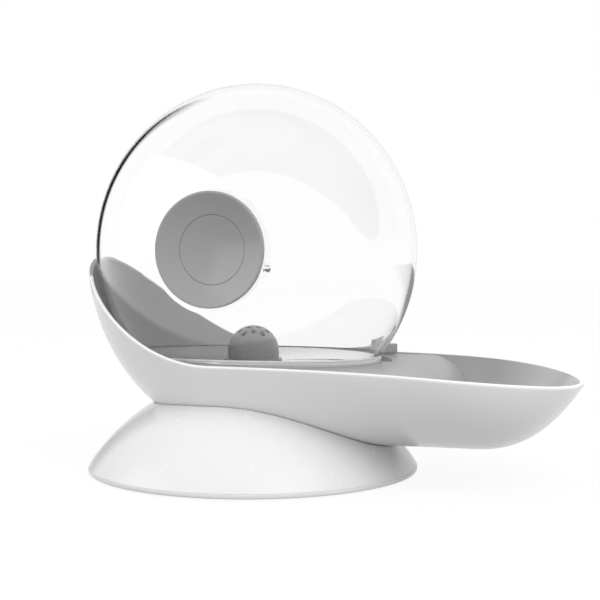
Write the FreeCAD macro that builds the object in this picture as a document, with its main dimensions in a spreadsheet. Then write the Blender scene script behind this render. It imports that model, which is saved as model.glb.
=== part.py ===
import FreeCAD, Part
import math
import os
import Sketcher

# Gravity-fed pet water fountain. A snail-shaped hull, with the drinking bowl as its nose and a
# tail that climbs round the tank, stands on a domed foot. A clear tank with a bayonet filler cap
# on its side lifts out of a deck in the hull, and a lever under it shuts its outlet.
#
# Frame: millimetres, +Z up, the origin on the surface it stands on, under the tank's axis.
# +X points to the bowl's nose, and the filler cap faces -Y.

SIZES = {
    # tank
    "tank_radius": (100.5, "height and length of the clear tank, as a radius"),
    "tank_half_depth": (70.0, "half of the tank's front to back depth"),
    "tank_centre_height": (132.5, "height of the tank's centre"),
    "tank_wall": (2.5, "wall of the clear tank"),
    "tank_cut_depth": (62.0, "drop from the tank's centre to its open lower edge"),
    # hull
    "tail_gap": (0.3, "gap between the tank and the back of the hull"),
    "nose_reach": (196.8, "tank axis to the tip of the bowl"),
    "tail_half_width": (85.0, "half width of the tail's ellipsoid"),
    "tail_depth": (115.0, "drop of the tail's ellipsoid below the tank's centre"),
    "hull_wall": (2.4, "wall of the hull"),
    "rim_over_deck": (1.7, "height of the hull's rim beside the tank, over the deck"),
    "rim_rise": (62.0, "rise of the rim from there to the back of the tail"),
    "rim_drop": (9.9, "drop of the rim from there to the tip of the bowl"),
    "rim_drop_power": (3.2, "how late the rim drops towards the tip"),
    "bowl_half_width": (76.2, "half width of the bowl at its rim"),
    "bowl_start": (122.0, "where the sides begin to close towards the tip"),
    "bowl_depth": (48.4, "drop from the rim beside the tank to the lowest line under the bowl"),
    "nose_rise_start": (136.0, "where the underside begins to rise to the tip"),
    "nose_rise_power": (2.5, "how late the underside rises"),
    "bowl_flare": (24.0, "height of the section's widest line over the bowl's rim"),
    "flare_length": (110.0, "length over which the tail's section becomes the bowl's"),
    # foot
    "foot_radius": (99.5, "radius of the round foot"),
    "foot_crown_drop": (75.0, "drop from the tank's centre to the crown of the foot's dome"),
    "foot_edge_height": (3.6, "height where the dome starts"),
    "foot_wall": (3.0, "wall of the dome"),
    "saddle_gap": (0.3, "gap between the foot's saddle and the hull"),
    "saddle_wall": (2.5, "wall of the saddle"),
    "plate_thickness": (2.6, "thickness of the foot's bottom plate"),
    "grip_inner_radius": (78.0, "inside of the non-slip ring under the foot"),
    "grip_outer_radius": (88.0, "outside of the non-slip ring"),
    "grip_thickness": (1.6, "thickness of the non-slip ring"),
    "grip_sink": (0.6, "depth of the ring's groove in the bottom plate"),
    "grip_gap": (0.2, "gap on each side of the ring in its groove"),
    "screw_x": (38.0, "screws, along the hull from the tank's axis"),
    "screw_y": (26.0, "screws, across the hull from its middle"),
    "screw_radius": (2.0, "radius of a screw's shank"),
    "screw_head_radius": (3.8, "radius of a screw's head"),
    "screw_head_height": (2.0, "height of a screw's head"),
    "screw_head_sink": (0.2, "depth of a screw's head in the bottom plate"),
    "screw_reach": (17.0, "height that a screw's tip reaches"),
    "screw_fit": (0.05, "gap round a screw's shank"),
    "boss_radius": (4.5, "radius of a screw boss under the hull"),
    "boss_foot_height": (9.5, "height of a boss's lower face"),
    "boss_gap": (0.5, "gap round and under a boss"),
    "post_radius": (5.5, "radius of a post on the bottom plate"),
    # deck
    "deck_thickness": (2.5, "thickness of the deck and of its recess"),
    "deck_gap": (0.4, "gap between the deck and the hull"),
    "deck_end": (93.0, "where the deck bends down into the bowl"),
    "apron_bend": (30.0, "radius of that bend"),
    "apron_angle": (62.0, "slope of the apron below the bend"),
    "apron_run": (16.0, "length of the apron's straight stretch"),
    "recess_depth": (3.0, "depth of the tank's recess in the deck"),
    "recess_gap": (0.5, "gap between the tank's base and the recess"),
    "deck_hole_gap": (1.9, "gap between the lever's crank and the deck's hole"),
    "leg_radius": (5.0, "radius of a deck leg"),
    "leg_x": (50.0, "deck legs, along the hull from the tank's axis"),
    "leg_y": (35.0, "deck legs, across the hull from its middle"),
    "leg_gap": (0.3, "gap between a leg and the hull's floor"),
    "seat_ring_thickness": (1.0, "thickness of the soft ring under the tank"),
    "seat_ring_width": (5.3, "width of the soft ring"),
    "bay_gap": (1.5, "gap between the lever's riser and the end of its bay in the deck"),
    # tank base
    "skirt_height": (4.7, "height of the base's skirt"),
    "seal_thickness": (1.3, "thickness of the seal between tank and base"),
    "floor_drop": (3.3, "depth of the tank's floor below the tank's lower edge"),
    "floor_thickness": (1.5, "thickness of the floor"),
    "skirt_inset": (0.3, "how far the skirt's inside stands in from the tank's wall"),
    "well_depth": (0.5, "depth of the sunken floor round the outlet"),
    "well_radius": (24.0, "radius of that sunken floor"),
    "well_wall": (2.0, "wall of the sunken floor"),
    "collar_depth": (3.7, "depth of the collar that holds the spout"),
    "port_radius": (2.2, "radius of an outlet port"),
    "port_ring_radius": (9.5, "circle on which the ports lie"),
    "port_count": (6.0, "ports"),
    # outlet
    "rotor_margin": (1.0, "width of the shut-off disc outside its seal"),
    "rotor_thickness": (1.6, "thickness of the disc and of its lever"),
    "rotor_drop": (0.4, "gap between the floor and the disc"),
    "rotor_gap": (0.2, "gap under the disc"),
    "rotor_fit": (0.08, "gap round the disc"),
    "lever_width": (7.0, "width of the lever"),
    "lever_angle": (43.0, "direction of the open lever, from +X"),
    "lever_travel": (30.0, "turn that shuts the outlet"),
    "lever_lift": (0.3, "gap between the lever and the floor of the recess"),
    "crank_gap": (1.5, "gap between the base's collar and the step in the lever"),
    "riser_gap": (1.9, "gap between the tank's base and the lever's riser"),
    "tab_lift": (1.2, "gap between the lever's outer end and the deck"),
    "tab_start": (87.0, "inner end of the finger tab"),
    "tab_end": (98.0, "outer end of the finger tab"),
    "tab_rise": (7.0, "height of the finger tab over the deck"),
    "notch_margin": (1.2, "spare angle each side of the lever's travel, where its stops are"),
    "seal_margin": (1.7, "distance from the ports to the disc's seal"),
    "seal_width": (2.6, "width of the disc's seal"),
    "seal_groove_depth": (1.2, "depth of the groove that holds the disc's seal"),
    "spout_margin": (0.9, "distance from the ports to the wall of the spout"),
    "spout_wall": (1.8, "wall of the spout"),
    "water_margin": (10.3, "drop from the bowl's tip to the spout's mouth, where the water stands"),
    "spout_floor": (1.6, "thickness of the shelf that carries the disc"),
    "spout_fit": (0.1, "gap between the spout and its collar"),
    # filter
    "dome_radius": (15.5, "radius of the filter dome"),
    "dome_height": (20.8, "height of the filter dome"),
    "dome_wall": (1.5, "wall of the filter dome"),
    "dome_flange": (1.8, "width of the dome's foot"),
    "dome_flange_height": (1.0, "height of the dome's foot"),
    "dome_hole_radius": (1.5, "radius of a hole in the dome"),
    "dome_hole_pitch": (5.35, "distance between neighbouring holes"),
    "dome_hole_turn": (21.0, "direction of a row of holes, from +X"),
    "sponge_gap": (0.3, "gap round the sponge"),
    # filler neck and cap
    "neck_bore": (28.4, "radius of the filler neck's bore"),
    "neck_wall": (2.4, "wall of the filler neck"),
    "neck_stand": (0.1, "how far the neck's mouth stands clear of the tank's curve"),
    "neck_length": (12.4, "length of the filler neck"),
    "gutter_wall": (1.8, "wall of the gutters that pass the cap's lugs"),
    "gutter_half_angle": (5.8, "half angle of a gutter"),
    "notch_half_angle": (3.2, "half angle of the cut in a gutter"),
    "lug_half_angle": (2.2, "half angle of a lug on the cap, and of the leg that holds it"),
    "lug_reach": (2.8, "how far a lug on the cap stands out past the neck's bore"),
    "lug_clearance": (0.2, "gap round a lug in its gutter"),
    "lug_thickness": (3.0, "thickness of a lug"),
    "lug_gap": (0.3, "gap between a lug and the neck's inner end"),
    "first_lug_angle": (-21.0, "direction of the first lug, seen from the front"),
    "lug_count": (3.0, "lugs on the cap"),
    "cap_travel": (47.0, "turn that locks the cap"),
    "stop_gap": (0.6, "angle left between a lug and its stop"),
    "stop_angle": (6.0, "angle that a stop takes up"),
    "stop_depth": (2.5, "how far a stop stands past the neck's inner end"),
    "gasket_thickness": (0.6, "thickness of the cap's gasket"),
    "gasket_gap": (0.1, "gap between the gasket and the neck"),
    "plug_fit": (0.4, "gap between the cap's plug and the neck"),
    "plug_wall": (2.2, "wall of the cap's plug"),
    "plug_length": (5.0, "length of the plug's ring, where its legs start"),
    "cap_overhang": (1.7, "how far the cap stands out past the neck"),
    "cap_rim_width": (1.3, "flat rim round the cap's dish"),
    "cap_rim_thickness": (2.3, "thickness of the cap at its rim"),
    "cap_dish_depth": (8.0, "depth of the cap's dish"),
    "cap_shell": (2.0, "wall of the dish"),
    "cap_root": (2.2, "length of the dish's own ring that the cap's plug is joined to"),
    "inlay_radius": (19.4, "radius of the round inlay in the dish"),
    "inlay_thickness": (0.8, "thickness of the inlay"),
    "inlay_gap": (0.2, "gap round the inlay"),
}

doc = FreeCAD.newDocument("fountain")
sheet = doc.addObject("Spreadsheet::Sheet", "dims")
for row, (alias, (value, meaning)) in enumerate(SIZES.items(), start=1):
    sheet.set(f"A{row}", alias)
    sheet.set(f"B{row}", str(value))
    sheet.set(f"C{row}", meaning)
    sheet.setAlias(f"B{row}", alias)
doc.recompute()

# Lengths that several pieces share, worked out from the sizes
TANK_EDGE = "(dims.tank_centre_height - dims.tank_cut_depth)"
SKIRT_TOP = f"({TANK_EDGE} - dims.seal_thickness)"
BASE_BOTTOM = f"({SKIRT_TOP} - dims.skirt_height)"
DECK_TOP = f"({BASE_BOTTOM} - dims.seat_ring_thickness + dims.recess_depth)"
RECESS_FLOOR = f"({DECK_TOP} - dims.recess_depth)"
OUTER_SHARE = "sqrt(1 - (dims.tank_cut_depth / dims.tank_radius)^2)"
INNER_SHARE = "sqrt(1 - (dims.tank_cut_depth / (dims.tank_radius - dims.tank_wall))^2)"
EDGE_X = f"dims.tank_radius * {OUTER_SHARE}"
EDGE_Y = f"dims.tank_half_depth * {OUTER_SHARE}"
EDGE_INNER_X = f"(dims.tank_radius - dims.tank_wall) * {INNER_SHARE}"
EDGE_INNER_Y = f"(dims.tank_half_depth - dims.tank_wall) * {INNER_SHARE}"
TAIL_REACH = "(dims.tank_radius + dims.tail_gap + dims.hull_wall)"
RIM = f"({DECK_TOP} + dims.rim_over_deck)"
FOOT_CROWN = "(dims.tank_centre_height - dims.foot_crown_drop)"
PLATE_BOTTOM = "(dims.foot_edge_height - dims.plate_thickness)"
HEAD_BOTTOM = f"({PLATE_BOTTOM} + dims.screw_head_sink)"
HEAD_TOP = f"({HEAD_BOTTOM} + dims.screw_head_height)"
FLOOR_TOP = f"({TANK_EDGE} - dims.floor_drop)"
FLOOR_BOTTOM = f"({FLOOR_TOP} - dims.floor_thickness)"
WELL_TOP = f"({FLOOR_TOP} - dims.well_depth)"
WELL_BOTTOM = f"({WELL_TOP} - dims.well_wall)"
WELL_OUTSIDE = "(dims.well_radius + dims.well_wall)"
ROTOR_TOP = f"({WELL_BOTTOM} - dims.rotor_drop)"
ROTOR_BOTTOM = f"({ROTOR_TOP} - dims.rotor_thickness)"
ARM_BOTTOM = f"({RECESS_FLOOR} + dims.lever_lift)"
ARM_TOP = f"({ARM_BOTTOM} + dims.rotor_thickness)"
CRANK = f"({WELL_OUTSIDE} + dims.crank_gap)"
RISER = f"({EDGE_X} + dims.riser_gap)"
BAY = f"({RISER} + dims.rotor_thickness + dims.bay_gap)"
TAB_BOTTOM = f"({DECK_TOP} + dims.tab_lift)"
DECK_HOLE = f"({CRANK} + dims.rotor_thickness + dims.deck_hole_gap)"
TAB_TOP = f"({DECK_TOP} + dims.tab_rise)"
PORT_REACH = "(dims.port_ring_radius + dims.port_radius)"
SEAL_INSIDE = f"({PORT_REACH} + dims.seal_margin)"
SEAL_OUTSIDE = f"({SEAL_INSIDE} + dims.seal_width)"
ROTOR = f"({SEAL_OUTSIDE} + dims.rotor_margin)"
SPOUT_BORE = f"({PORT_REACH} + dims.spout_margin)"
SPOUT_END = f"({RIM} - dims.rim_drop - dims.water_margin)"
SHELF_TOP = f"({ROTOR_BOTTOM} - dims.rotor_gap)"
SHELF_BOTTOM = f"({SHELF_TOP} - dims.spout_floor)"
DOME_FLANGE = "(dims.dome_radius + dims.dome_flange)"
NECK_OUTSIDE = "(dims.neck_bore + dims.neck_wall)"
LUG_RADIUS = "(dims.neck_bore + dims.lug_reach)"
NOTCH_RADIUS = f"({LUG_RADIUS} + dims.lug_clearance)"
GUTTER_RADIUS = f"({NOTCH_RADIUS} + dims.gutter_wall)"
NECK_MOUTH = (f"(dims.tank_half_depth * sqrt(1 - ({GUTTER_RADIUS} / dims.tank_radius)^2)"
              " + dims.neck_stand)")
NECK_END = f"({NECK_MOUTH} - dims.neck_length)"
CAP_RADIUS = f"({NECK_OUTSIDE} + dims.cap_overhang)"
CAP_RIM_INSIDE = f"({CAP_RADIUS} - dims.cap_rim_width)"
CAP_BACK = f"({NECK_MOUTH} + dims.gasket_gap + dims.gasket_thickness)"
CAP_FRONT = f"({CAP_BACK} + dims.cap_rim_thickness)"
PLUG_START = f"({CAP_BACK} - dims.cap_root)"
LEG_START = f"({PLUG_START} - dims.plug_length)"
PLUG_RADIUS = "(dims.neck_bore - dims.plug_fit)"
LUG_FACE = f"({NECK_END} - dims.lug_gap)"


def size(alias):
    """A size from the sheet, as a number."""
    return float(sheet.get(alias))


def number(expression):
    """The value of an expression on the sheet's sizes."""
    return float(sheet.evalExpression(expression))


def bind(obj, **expressions):
    """Binds properties to expressions. A double underscore stands for a dot."""
    for prop, expression in expressions.items():
        obj.setExpression(prop.replace("__", "."), expression)
    return obj


def solid_of(name, kind, **expressions):
    """A primitive whose properties are bound to expressions."""
    return bind(doc.addObject(kind, name), **expressions)


def cylinder(name, radius, bottom, height, x="0", y="0"):
    """An upright cylinder."""
    return solid_of(name, "Part::Cylinder", Radius=radius, Height=height,
                    Placement__Base__x=x, Placement__Base__y=y, Placement__Base__z=bottom)


def front_cylinder(name, radius, inner_end, outer_end, first_angle=0.0, angle="360"):
    """A cylinder, or a sector of one, on the cap's axis, between two distances in front of the tank's."""
    obj = doc.addObject("Part::Cylinder", name)
    turn = FreeCAD.Rotation(FreeCAD.Vector(1, 0, 0), 90)
    start = FreeCAD.Rotation(FreeCAD.Vector(0, 0, 1), first_angle)
    obj.Placement = FreeCAD.Placement(FreeCAD.Vector(0, 0, 0), turn * start)
    return bind(obj, Radius=radius, Height=f"{outer_end} - ({inner_end})", Angle=angle,
                Placement__Base__y=f"-({inner_end})", Placement__Base__z="dims.tank_centre_height")


def ellipse_prism(name, radius_x, radius_y, bottom, height):
    """An upright prism on an ellipse."""
    outline = solid_of(name + "_outline", "Part::Ellipse", MajorRadius=radius_x, MinorRadius=radius_y,
                       Placement__Base__z=bottom)
    prism = doc.addObject("Part::Extrusion", name)
    prism.Base = outline
    prism.DirMode = "Custom"
    prism.Dir = FreeCAD.Vector(0, 0, 1)
    prism.Solid = True
    return bind(prism, LengthFwd=height)


def ellipsoid(name, radius_x, radius_y, radius_z, height):
    """An ellipsoid on the tank's axis."""
    return solid_of(name, "Part::Ellipsoid", Radius1=radius_z, Radius2=radius_x, Radius3=radius_y,
                    Placement__Base__z=height)


def sector(name, radius, bottom, height, first_angle, last_angle):
    """An upright sector of a cylinder, between two directions from +X."""
    obj = doc.addObject("Part::Cylinder", name)
    obj.Placement = FreeCAD.Placement(
        FreeCAD.Vector(0, 0, 0), FreeCAD.Rotation(FreeCAD.Vector(0, 0, 1), number(first_angle)))
    return bind(obj, Radius=radius, Height=height, Angle=f"{last_angle} - ({first_angle})",
                Placement__Base__z=bottom)


def cut(name, base, *tools):
    """A base with each tool cut from it."""
    result = base
    for index, tool in enumerate(tools, start=1):
        step = doc.addObject("Part::Cut", name if index == len(tools) else f"{name}_cut_{index}")
        step.Base = result
        step.Tool = tool
        result = step
    return result


def fuse(name, *shapes):
    """Shapes joined into one."""
    joined = doc.addObject("Part::MultiFuse", name)
    joined.Shapes = list(shapes)
    return joined


def common(name, base, tool):
    """The space that two shapes share."""
    shared = doc.addObject("Part::Common", name)
    shared.Base = base
    shared.Tool = tool
    return shared


def new_body(name):
    """An empty body."""
    return doc.addObject("PartDesign::Body", name)


def new_sketch(body, name, role, offset="0"):
    """A sketch on one of the body's own origin planes, or at an offset from it."""
    sketch = body.newObject("Sketcher::SketchObject", name)
    plane = [feature for feature in body.Origin.OriginFeatures if feature.Role == role][0]
    sketch.AttachmentSupport = (plane, [""])
    sketch.MapMode = "FlatFace"
    sketch.setExpression("AttachmentOffset.Base.z", offset)
    return sketch


def fix_point(sketch, geometry, vertex, x, y):
    """Ties a point of a sketch to two expressions."""
    for kind, axis, expression in (("DistanceX", -2, x), ("DistanceY", -1, y)):
        if expression == "0":
            sketch.addConstraint(Sketcher.Constraint("PointOnObject", geometry, vertex, axis))
        else:
            value = number(expression)
            index = sketch.addConstraint(Sketcher.Constraint(kind, -1, 1, geometry, vertex, value))
            sketch.setExpression(f"Constraints[{index}]", expression)


def arc_between(start, end, radius):
    """An arc from start to end. A positive radius bends to the left of the way from start to end."""
    chord = end - start
    half = chord.Length / 2
    left = FreeCAD.Vector(-chord.y, chord.x, 0).normalize()
    sagitta = abs(radius) - math.sqrt(radius ** 2 - half ** 2)
    middle = (start + end) / 2 + left * math.copysign(sagitta, radius)
    return Part.Arc(start, middle, end)


def draw_outline(sketch, points):
    """A closed outline. A point is (x, y), or (x, y, radius) where an arc leads on from it."""
    count = len(points)
    places = [FreeCAD.Vector(number(point[0]), number(point[1]), 0) for point in points]
    ends = []
    for index, point in enumerate(points):
        start, end = places[index], places[(index + 1) % count]
        if len(point) == 2:
            sketch.addGeometry(Part.LineSegment(start, end), False)
            ends.append((1, 2))
        else:
            radius = number(point[2])
            arc = arc_between(start, end, radius)
            geometry = sketch.addGeometry(arc, False)
            starts_here = (sketch.getPoint(geometry, 1) - start).Length < 1e-6
            ends.append((1, 2) if starts_here else (2, 1))
            index_radius = sketch.addConstraint(Sketcher.Constraint("Radius", geometry, abs(radius)))
            sketch.setExpression(f"Constraints[{index_radius}]", f"abs({point[2]})")
    for index in range(count):
        following = (index + 1) % count
        sketch.addConstraint(
            Sketcher.Constraint("Coincident", index, ends[index][1], following, ends[following][0]))
    for index, point in enumerate(points):
        fix_point(sketch, index, ends[index][0], point[0], point[1])


def draw_circles(sketch, circles):
    """Circles, each (x, y, radius)."""
    for x, y, radius in circles:
        centre = FreeCAD.Vector(number(x), number(y), 0)
        circle = Part.Circle(centre, FreeCAD.Vector(0, 0, 1), number(radius))
        geometry = sketch.addGeometry(circle, False)
        fix_point(sketch, geometry, 3, x, y)
        index = sketch.addConstraint(Sketcher.Constraint("Radius", geometry, number(radius)))
        sketch.setExpression(f"Constraints[{index}]", radius)


def revolve(body, name, role, points, kind="PartDesign::Revolution"):
    """A solid turned from an outline about its sketch's vertical axis, or a groove turned so."""
    profile = new_sketch(body, name + "_profile", role)
    draw_outline(profile, points)
    turned = body.newObject(kind, name)
    turned.Profile = profile
    turned.ReferenceAxis = (profile, ["V_Axis"])
    turned.Angle = 360
    return turned


def raise_circles(body, name, bottom, height, circles):
    """Round posts that stand up from a level."""
    profile = new_sketch(body, name + "_circles", "XY_Plane", bottom)
    draw_circles(profile, circles)
    pad = body.newObject("PartDesign::Pad", name)
    pad.Profile = profile
    return bind(pad, Length=height)


def sink_circles(body, name, top, depth, circles):
    """Round holes that go down from a level."""
    profile = new_sketch(body, name + "_circles", "XY_Plane", top)
    draw_circles(profile, circles)
    pocket = body.newObject("PartDesign::Pocket", name)
    pocket.Profile = profile
    return bind(pocket, Length=depth)


def repeat_round(body, name, feature, count):
    """A feature repeated round the body's own Z axis."""
    pattern = body.newObject("PartDesign::PolarPattern", name)
    axis = [item for item in body.Origin.OriginFeatures if item.Role == "Z_Axis"][0]
    pattern.Originals = [feature]
    pattern.Axis = (axis, [""])
    pattern.Angle = 360
    bind(pattern, Occurrences=count)
    body.Tip = pattern
    return pattern


def four_corners(x, y):
    """Four places, one in each quarter."""
    return [(sign_x + x, sign_y + y) for sign_x in ("", "-") for sign_y in ("", "-")]


def ease(share):
    """A smooth step from 0 to 1."""
    share = min(1.0, max(0.0, share))
    return share * share * (3 - 2 * share)


def rim_level(x):
    """Height of the hull's rim at a distance along the hull."""
    if x < 0:
        return number(RIM) + size("rim_rise") * (x / number(TAIL_REACH)) ** 2
    drop = size("rim_drop") * (x / size("nose_reach")) ** size("rim_drop_power")
    return number(RIM) - drop


class HullForm:
    """The hull's closed form, grown all over by a margin, or shrunk by a negative one."""

    tail_angles = (4, 12, 22, 34, 48, 64, 78)
    middle_shares = (0.0, 0.16, 0.34, 0.52, 0.7, 0.86)
    nose_angles = (0, 13, 26, 38, 50, 62, 73, 82, 87)

    def __init__(self, margin):
        self.margin = margin
        self.centre = size("tank_centre_height")
        self.tail = number(TAIL_REACH) + margin
        self.nose = size("nose_reach") + 1.2 * margin
        self.width = size("tail_half_width") + margin
        self.depth = size("tail_depth") + margin

    def stations(self):
        """Distances along the hull at which it has a section, from the tail to the nose."""
        start = size("bowl_start")
        tail = [-self.tail * math.cos(math.radians(angle)) for angle in self.tail_angles]
        middle = [start * share for share in self.middle_shares]
        nose = [start + (self.nose - start) * math.sin(math.radians(angle))
                for angle in self.nose_angles]
        return tail + middle + nose

    def half_width_at_rim(self, x):
        """Half of the hull's width at its rim, forward of the tank's axis."""
        start = size("bowl_start")
        drop = (self.centre - number(RIM)) / self.depth
        beside_tank = self.width * math.sqrt(1 - drop ** 2)
        bowl = size("bowl_half_width") + self.margin
        if x < start:
            return beside_tank + (bowl - beside_tank) * ease(x / start)
        return bowl * math.sqrt(1 - ((x - start) / (self.nose - start)) ** 2)

    def keel(self, x):
        """Height of the form's lowest line, forward of the tank's axis."""
        start = size("nose_rise_start")
        under_tank = self.centre - self.depth
        under_bowl = (number(RIM) - size("bowl_depth")) - self.margin
        level = under_tank + (under_bowl - under_tank) * ease(x / start)
        if x > start:
            share = (x - start) / (self.nose - start)
            level += (rim_level(self.nose) - level) * share ** size("nose_rise_power")
        return level

    def section(self, x):
        """Half width, half height and centre height of the form's section at a distance."""
        if x < 0:
            share = math.sqrt(1 - (x / self.tail) ** 2)
            return self.width * share, self.depth * share, self.centre
        blend = ease(x / size("flare_length"))
        centre = self.centre + (rim_level(x) + size("bowl_flare") - self.centre) * blend
        half_height = centre - self.keel(x)
        rim_share = (centre - rim_level(x)) / half_height
        half_width = self.half_width_at_rim(x) / math.sqrt(1 - rim_share ** 2)
        return half_width, half_height, centre

    def wire(self, x):
        """The section at a distance, as an ellipse across the hull."""
        half_width, half_height, centre = self.section(x)
        origin, along = FreeCAD.Vector(0, 0, 0), FreeCAD.Vector(1, 0, 0)
        circle = Part.Circle(origin, along, 1).toShape()
        scale = FreeCAD.Matrix(1, 0, 0, x, 0, half_width, 0, 0, 0, 0, half_height, centre, 0, 0, 0, 1)
        return Part.Wire(circle.transformGeometry(scale).Edges)

    def solid(self):
        """The form as one solid."""
        return Part.makeLoft([self.wire(x) for x in self.stations()], True, False)


def hull_form(name, margin):
    """A document object that holds the hull's form, grown by a margin."""
    form = doc.addObject("Part::Feature", name)
    form.Shape = HullForm(margin).solid()
    return form


def space_above_rim():
    """The space above the rim's line, which cuts the hull's form open."""
    back = -number(TAIL_REACH) - 6
    front = size("nose_reach") + 6
    steps = 16
    line = [back + (front - back) * step / steps for step in range(steps + 1)]
    rim = Part.BSplineCurve()
    rim.interpolate([FreeCAD.Vector(x, 0, rim_level(x)) for x in line])
    ceiling = size("tank_centre_height") + size("tail_depth") + 20
    first, last = rim.value(rim.FirstParameter), rim.value(rim.LastParameter)
    corners = [last, FreeCAD.Vector(front, 0, ceiling), FreeCAD.Vector(back, 0, ceiling), first]
    edges = [rim.toShape()] + [Part.LineSegment(one, two).toShape()
                               for one, two in zip(corners, corners[1:])]
    half = size("tail_half_width") + 20
    face = Part.Face(Part.Wire(edges))
    face.translate(FreeCAD.Vector(0, -half, 0))
    space = doc.addObject("Part::Feature", "space_above_rim")
    space.Shape = face.extrude(FreeCAD.Vector(0, 2 * half, 0))
    return space


SCREW_PLACES = four_corners("dims.screw_x", "dims.screw_y")
LEG_PLACES = four_corners("dims.leg_x", "dims.leg_y")
sub_parts = []


def keep(obj, label):
    """Marks an object as a sub-part and gives it its name."""
    obj.Label = label
    sub_parts.append(obj)
    return obj


# Forms that the hull, the foot and the deck share
hull_outside = hull_form("hull_outside", 0.0)
hull_inside = hull_form("hull_inside", -size("hull_wall"))
saddle_outside = hull_form("saddle_outside", size("saddle_gap"))
saddle_inside = hull_form("saddle_inside", size("saddle_gap") + size("saddle_wall"))
deck_limit = hull_form("deck_limit", -size("hull_wall") - size("deck_gap"))
leg_limit = hull_form("leg_limit", -size("hull_wall") - size("leg_gap"))


def make_hull_shell():
    """The open hull with its bowl, and the blind screw bosses under it."""
    shell = cut("hull_open", hull_outside, hull_inside, space_above_rim())
    posts = [cylinder(f"hull_boss_{index}", "dims.boss_radius", "dims.boss_foot_height",
                      f"{RIM} - dims.boss_foot_height", x, y)
             for index, (x, y) in enumerate(SCREW_PLACES, start=1)]
    bosses = cut("hull_bosses", fuse("hull_posts", *posts), hull_inside)
    holes = [cylinder(f"hull_pilot_{index}", "dims.screw_radius + dims.screw_fit",
                      "dims.boss_foot_height", "dims.screw_reach + 1 - dims.boss_foot_height", x, y)
             for index, (x, y) in enumerate(SCREW_PLACES, start=1)]
    pilots = fuse("hull_pilots", *holes)
    return cut("hull_shell_solid", fuse("hull_with_bosses", shell, bosses), pilots)


def dome_outline(shrink):
    """Outline of the foot's dome, shrunk all over: a flat bottom and one arc up to the crown."""
    edge = "dims.foot_edge_height"
    rise = f"({FOOT_CROWN} - dims.foot_edge_height)"
    radius = f"(dims.foot_radius^2 + {rise}^2) / (2 * {rise})"
    if shrink == "0":
        return [("0", edge), ("dims.foot_radius", edge, radius + " * -1"),
                ("0", FOOT_CROWN)]
    centre = f"({FOOT_CROWN} - ({radius}))"
    small = f"({radius} - {shrink})"
    bottom = f"({edge} - 1)"
    reach = f"sqrt({small}^2 - ({bottom} - {centre})^2)"
    return [("0", bottom), (reach, bottom, small + " * -1"),
            ("0", f"{FOOT_CROWN} - {shrink}")]


def make_foot_shell():
    """The domed foot, hollow from below, with a saddle that follows the hull's underside."""
    outside = new_body("foot_outside")
    revolve(outside, "foot_dome", "XZ_Plane", dome_outline("0"))
    inside = new_body("foot_inside")
    revolve(inside, "foot_hollow", "XZ_Plane", dome_outline("dims.foot_wall"))
    hollow = cut("foot_hollow_space", inside, saddle_inside)
    holes = [cylinder(f"saddle_hole_{index}", "dims.boss_radius + dims.boss_gap",
                      "dims.foot_edge_height", RIM, x, y)
             for index, (x, y) in enumerate(SCREW_PLACES, start=1)]
    return cut("foot_shell_solid", outside, saddle_outside, hollow, fuse("saddle_holes", *holes))


def make_foot_base_plate():
    """The bottom plate, with posts under the hull's bosses and a groove for the non-slip ring."""
    body = new_body("foot_base_plate_body")
    revolve(body, "plate_disc", "XZ_Plane",
            [("0", PLATE_BOTTOM), ("dims.foot_radius", PLATE_BOTTOM),
             ("dims.foot_radius", "dims.foot_edge_height"), ("0", "dims.foot_edge_height")])
    raise_circles(body, "plate_posts", "dims.foot_edge_height - 0.5",
                  "dims.boss_foot_height - dims.boss_gap - dims.foot_edge_height + 0.5",
                  [(x, y, "dims.post_radius") for x, y in SCREW_PLACES])
    sink_circles(body, "plate_screw_holes", "dims.boss_foot_height",
                 "dims.boss_foot_height",
                 [(x, y, "dims.screw_radius + dims.screw_fit") for x, y in SCREW_PLACES])
    sink_circles(body, "plate_head_recesses", HEAD_TOP, HEAD_TOP,
                 [(x, y, "dims.screw_head_radius + dims.boss_gap") for x, y in SCREW_PLACES])
    sink_circles(body, "grip_groove", f"{PLATE_BOTTOM} + dims.grip_sink", "dims.grip_thickness",
                 [("0", "0", "dims.grip_outer_radius + dims.grip_gap"),
                  ("0", "0", "dims.grip_inner_radius - dims.grip_gap")])
    return body


def make_foot_grip():
    """The soft non-slip ring that the fountain stands on."""
    body = new_body("foot_grip_body")
    revolve(body, "grip_turned", "XZ_Plane",
            [("dims.grip_inner_radius", "0"), ("dims.grip_outer_radius", "0"),
             ("dims.grip_outer_radius", "dims.grip_thickness"),
             ("dims.grip_inner_radius", "dims.grip_thickness")])
    return body


def make_foot_screws():
    """Four screws from the bottom plate up into the hull's bosses."""
    screws = []
    for index, (x, y) in enumerate(SCREW_PLACES, start=1):
        head = cylinder(f"screw_head_{index}", "dims.screw_head_radius", HEAD_BOTTOM,
                        "dims.screw_head_height", x, y)
        slot = solid_of(f"screw_slot_{index}", "Part::Box", Length="dims.screw_head_radius * 1.4",
                        Width="0.9", Height="0.9",
                        Placement__Base__x=f"{x} - dims.screw_head_radius * 0.7",
                        Placement__Base__y=f"{y} - 0.45", Placement__Base__z=HEAD_BOTTOM)
        shank = cylinder(f"screw_shank_{index}", "dims.screw_radius", HEAD_TOP,
                         f"dims.screw_reach - ({HEAD_TOP})", x, y)
        screws.append(fuse(f"screw_{index}", cut(f"screw_head_cut_{index}", head, slot), shank))
    group = doc.addObject("Part::Compound", "foot_screws_group")
    group.Links = screws
    return group


def lever_notch(name, radius, bottom, height, at_radius, spare="0"):
    """The space that the lever sweeps, from shut to open, with a margin on each side."""
    half = f"asin((dims.lever_width / 2 + {spare}) / ({at_radius})) / 1deg + dims.notch_margin"
    return sector(name, radius, bottom, height,
                  f"dims.lever_angle - dims.lever_travel - ({half})",
                  f"dims.lever_angle + {half}")


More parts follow.
